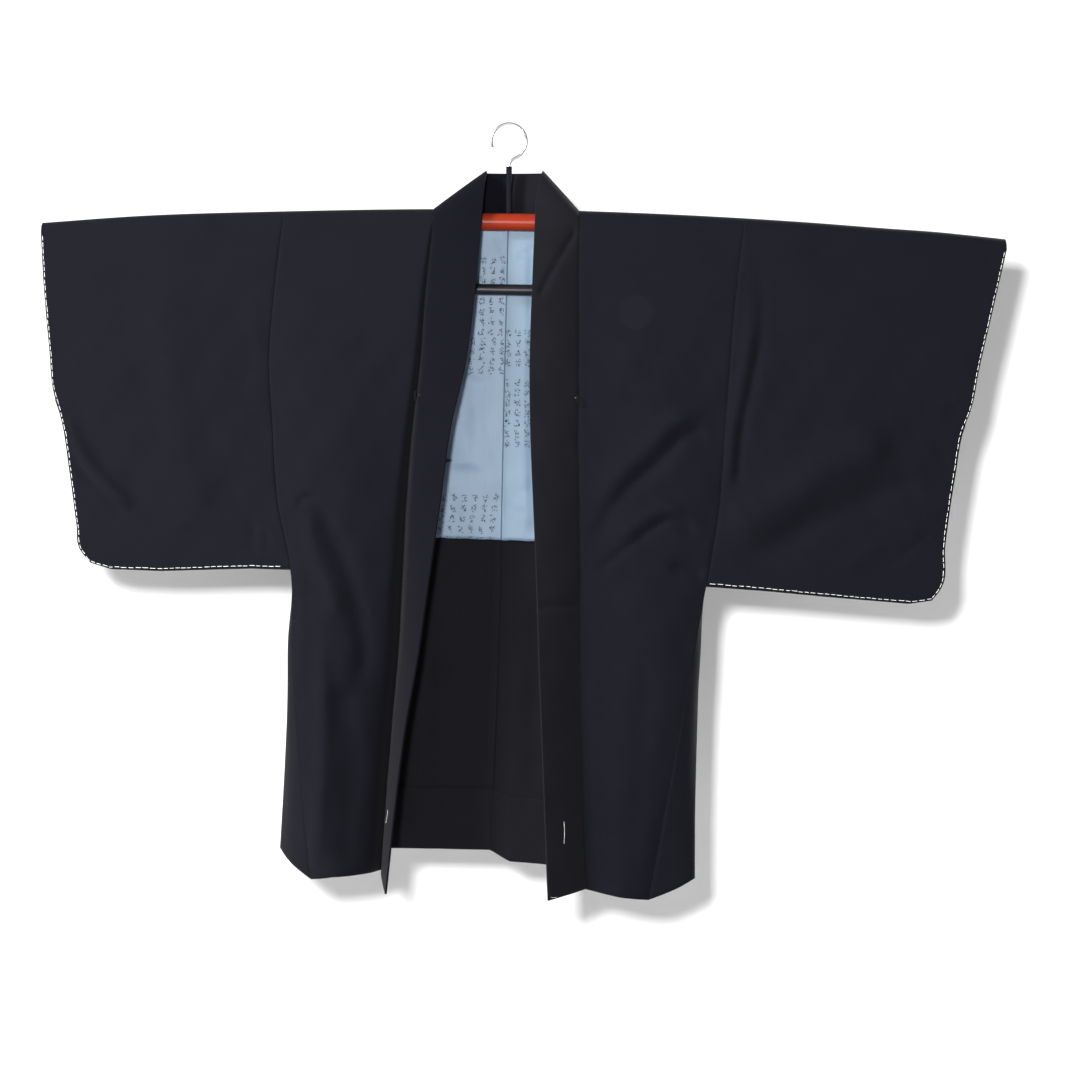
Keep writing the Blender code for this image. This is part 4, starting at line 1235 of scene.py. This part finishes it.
def satin_material(name, colour, shade):
    """Softly shining lining with faint clouds and fine lengthwise threads."""
    material, tree, shader = new_material(name)
    uv = add_node(tree, "ShaderNodeTexCoord").outputs["UV"]
    cloud = noise(tree, uv, *SATIN_CLOUD)
    mixed = blend_sum(tree, cloud, noise(tree, uv, *SATIN_THREADS), SATIN_THREAD_SHARE)
    colours = ramp(tree, mixed, zip(SATIN_RANGE, (shade, colour)))
    height = blend_sum(tree, weave(tree, uv, SATIN_PITCH), cloud, SATIN_CLOUD_HEIGHT)
    finish_shader(tree, shader, colours, height, SATIN_BUMP, SATIN_SHADER)
    return material


def hard_material(name, colour, roughness, metallic, specular):
    """Moulded plastic or wire, slightly uneven."""
    material, tree, shader = new_material(name)
    place = add_node(tree, "ShaderNodeTexCoord").outputs["Object"]
    patch = noise(tree, place, *HARD_PATCH)
    mixed = blend_sum(tree, patch, noise(tree, place, *HARD_GRAIN), GRAIN_SHARE)
    colours = varied(tree, mixed, HARD_RANGE, colour, HARD_VARY)
    finish_shader(tree, shader, colours, mixed, HARD_BUMP,
                  {"Roughness": roughness, "Metallic": metallic, "Specular IOR Level": specular})
    return material


def thread_material(name, colour, values=THREAD_SHADER):
    """Twisted thread or cord."""
    material, tree, shader = new_material(name)
    place = add_node(tree, "ShaderNodeTexCoord").outputs["Object"]
    twist = noise(tree, place, *TWIST)
    colours = ramp(tree, twist, zip(TWIST_RANGE, (scaled(colour, THREAD_SHADE), colour)))
    finish_shader(tree, shader, colours, twist, THREAD_BUMP, values)
    return material


def settle_piece(item, node=None, slot=None, **sheet):
    """Lets a piece ride on the jacket's root body, for its solid, and hides the CAD node it stands
    in for.
    """
    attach(item, "root")
    if node is not None:
        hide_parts(node)
    return item


def jacket_half(side, half, other, table, looks):
    """One half's pieces; gives back its band and its lining."""
    arm = [f"hanger_arm_{side}"]
    body = body_half(f"cloth_body_{side}", half, looks[f"body_{side}"], looks["inner"])
    bag = sleeve(f"cloth_sleeve_{side}", half, table, looks["navy"])
    strip = gusset(f"cloth_gusset_{side}", half, looks["navy"])
    collar = band(f"cloth_band_{side}", half, other, looks[f"band_{side}"])
    inside = lining(f"cloth_lining_{side}", half, looks[f"lining_{side}"])
    facing = hem_facing(f"cloth_facing_{side}", half, looks["inner"])
    loop = tie_loop(f"cord_loop_{side}", half, looks["cord"])
    stitches = basting(f"thread_basting_{side}", half, table, bag, looks["white"])
    settle_piece(body, f"body_{side}", "cloth", flat=BODY_CUT, area=BODY_AREA,
                 rests_on=["hanger_tube"] + arm)
    settle_piece(bag, f"sleeve_{side}", "cloth", flat=SLEEVE_CUT, rests_on=arm,
                 with_pieces=[stitches])
    settle_piece(strip, f"gusset_{side}", "cloth", flat=GUSSET_CUT, area=GUSSET_AREA,
                 rests_on=[body])
    settle_piece(collar, f"band_{side}", "band_cloth", flat=BAND_CUT, rests_on=[body],
                 with_pieces=[loop])
    settle_piece(inside, f"lining_{side}", "lining_cloth", flat=LINING_CUT, rests_on=[body])
    settle_piece(facing, f"hem_facing_{side}", "inner_cloth", flat=FACING_CUT, rests_on=[body])
    settle_piece(loop, f"tie_loop_{side}", "loop_cord")
    settle_piece(stitches)
    return collar, inside


def jacket():
    navy = cloth_material("navy_cloth", NAVY)
    looks = {
        "navy": navy,
        "body_right": navy,
        "body_left": cloth_material("navy_cloth_with_disc", NAVY, crest=True),
        # The right band's material carries painted shade.
        "band_right": cloth_material("navy_band_right_painted_shade", NAVY_BAND_RIGHT_PAINTED_SHADE),
        # The left band's material carries painted light.
        "band_left": cloth_material("navy_band_left_painted_light", NAVY_BAND_LEFT_PAINTED_LIGHT),
        # The inside faces, hem facing and seam allowance get this painted light.
        "inner": cloth_material("navy_inner_cloth_painted_light", NAVY_INNER_PAINTED_LIGHT),
        # The lining halves' two colours hold painted light and shade.
        "lining_right": satin_material("pale_lining_right_painted_light", LINING_RIGHT, LINING_RIGHT_SHADE),
        "lining_left": satin_material("pale_lining_left_painted_shade", LINING_LEFT, LINING_LEFT_SHADE),
        "white": thread_material("white_thread", THREAD_WHITE),
        "cord": thread_material("navy_cord", NAVY, CORD_SHADER),
    }
    band_right, lining_right = jacket_half("right", RIGHT, LEFT, RIGHT_SLEEVE, looks)
    band_left, lining_left = jacket_half("left", LEFT, RIGHT, LEFT_SLEEVE, looks)
    allowance = seam_allowance("cloth_seam_allowance", RIGHT, looks["inner"])
    settle_piece(allowance, "seam_allowance", "inner_cloth", flat=ALLOWANCE_CUT,
                 rests_on=["cloth_body_right"])
    dabs = lining_dabs("print_lining_dabs", [lining_left, lining_right],
                       thread_material("lining_ink", INK))
    settle_piece(dabs, slot="lining_cloth")
    hits = {"band_right": outside_of(band_right), "band_left": outside_of(band_left)}
    runs = []
    for piece, *path in THREADS:
        laid = laid_on(hits[piece], path, -1, LOOSE_THREAD_RADIUS)
        if len(laid) > 1:
            runs.append(laid)
    settle_piece(thread_piece("thread_loose_ends", runs, LOOSE_THREAD_RADIUS, looks["white"]))


def hanger():
    looks = {name: hard_material(name, *values) for name, values in HARD_LOOKS.items()}
    for name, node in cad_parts.items():
        if not name.startswith("hanger_"):
            continue
        kind, look = HANGER_LOOKS.get(name, ("black_plastic", "black_plastic"))
        node.data.materials.clear()
        node.data.materials.append(looks[look])


def pale(name, colour, one_sided=False):
    """A dull pale surface; a one-sided one can be seen through from behind."""
    material, tree, shader = new_material(name)
    set_inputs(shader, {"Base Color": (*colour, 1.0), "Roughness": 1.0, "Specular IOR Level": 0.0})
    if one_sided:
        side = add_node(tree, "ShaderNodeNewGeometry")
        clear = add_node(tree, "ShaderNodeBsdfTransparent")
        choose = add_node(tree, "ShaderNodeMixShader",
                          {"Fac": side.outputs["Backfacing"], 1: shader.outputs["BSDF"],
                           2: clear.outputs["BSDF"]})
        output = tree.nodes["Material Output"]
        tree.links.new(choose.outputs["Shader"], output.inputs["Surface"])
    return material


def stage_plane(name, low, high, material):
    """A level or upright plane between two opposite corners, seen from above or in front."""
    corners = [low, (high[0], low[1], low[2]), high, (low[0], high[1], high[2])]
    mesh = bpy.data.meshes.new(name)
    mesh.from_pydata(corners, [], [(0, 1, 2, 3)])
    item = place_object(name, mesh, material)
    item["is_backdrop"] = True
    return item


def area_light(name, place, target, size, power):
    light = bpy.data.lights.new(name, "AREA")
    light.size = size
    light.energy = power
    item = bpy.data.objects.new(name, light)
    item.location = place
    way = Vector(target) - Vector(place)
    item.rotation_euler = way.to_track_quat("-Z", "Y").to_euler()
    bpy.context.scene.collection.objects.link(item)
    return item


def object_collection():
    """The object's pieces, for lights that are flagged off the floor and backdrop."""
    lit = bpy.data.collections.new("object_pieces")
    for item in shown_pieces():
        lit.objects.link(item)
    return lit


def studio():
    stage_plane("studio_floor", *FLOOR, pale("studio_floor", FLOOR_WHITE))
    stage_plane("studio_backdrop", *BACKDROP,
                pale("studio_backdrop", BACKDROP_WHITE, one_sided=True))
    world = bpy.data.worlds.new("studio")
    world.use_nodes = True
    set_inputs(world.node_tree.nodes["Background"],
               {"Color": (1.0, 1.0, 1.0, 1.0), "Strength": WORLD_STRENGTH})
    bpy.context.scene.world = world
    lit = object_collection()
    for row in LIGHTS:
        light = dict(zip(LIGHT_COLUMNS, row))
        item = area_light(*row[:5])
        if light["object_only"]:
            item.light_linking.receiver_collection = lit
        if light["past_backdrop"]:
            item.light_linking.blocker_collection = lit
    bpy.context.scene.view_settings.view_transform = "Standard"


def camera():
    lens = bpy.data.cameras.new("camera")
    lens.lens = CAMERA_LENS
    lens.sensor_width = 36.0
    lens.clip_end = 60.0
    item = bpy.data.objects.new("camera", lens)
    item.location = CAMERA_PLACE
    item.rotation_euler = (math.radians(90.0), 0.0, 0.0)
    bpy.context.scene.collection.objects.link(item)
    bpy.context.scene.camera = item


jacket()
hanger()
studio()
camera()
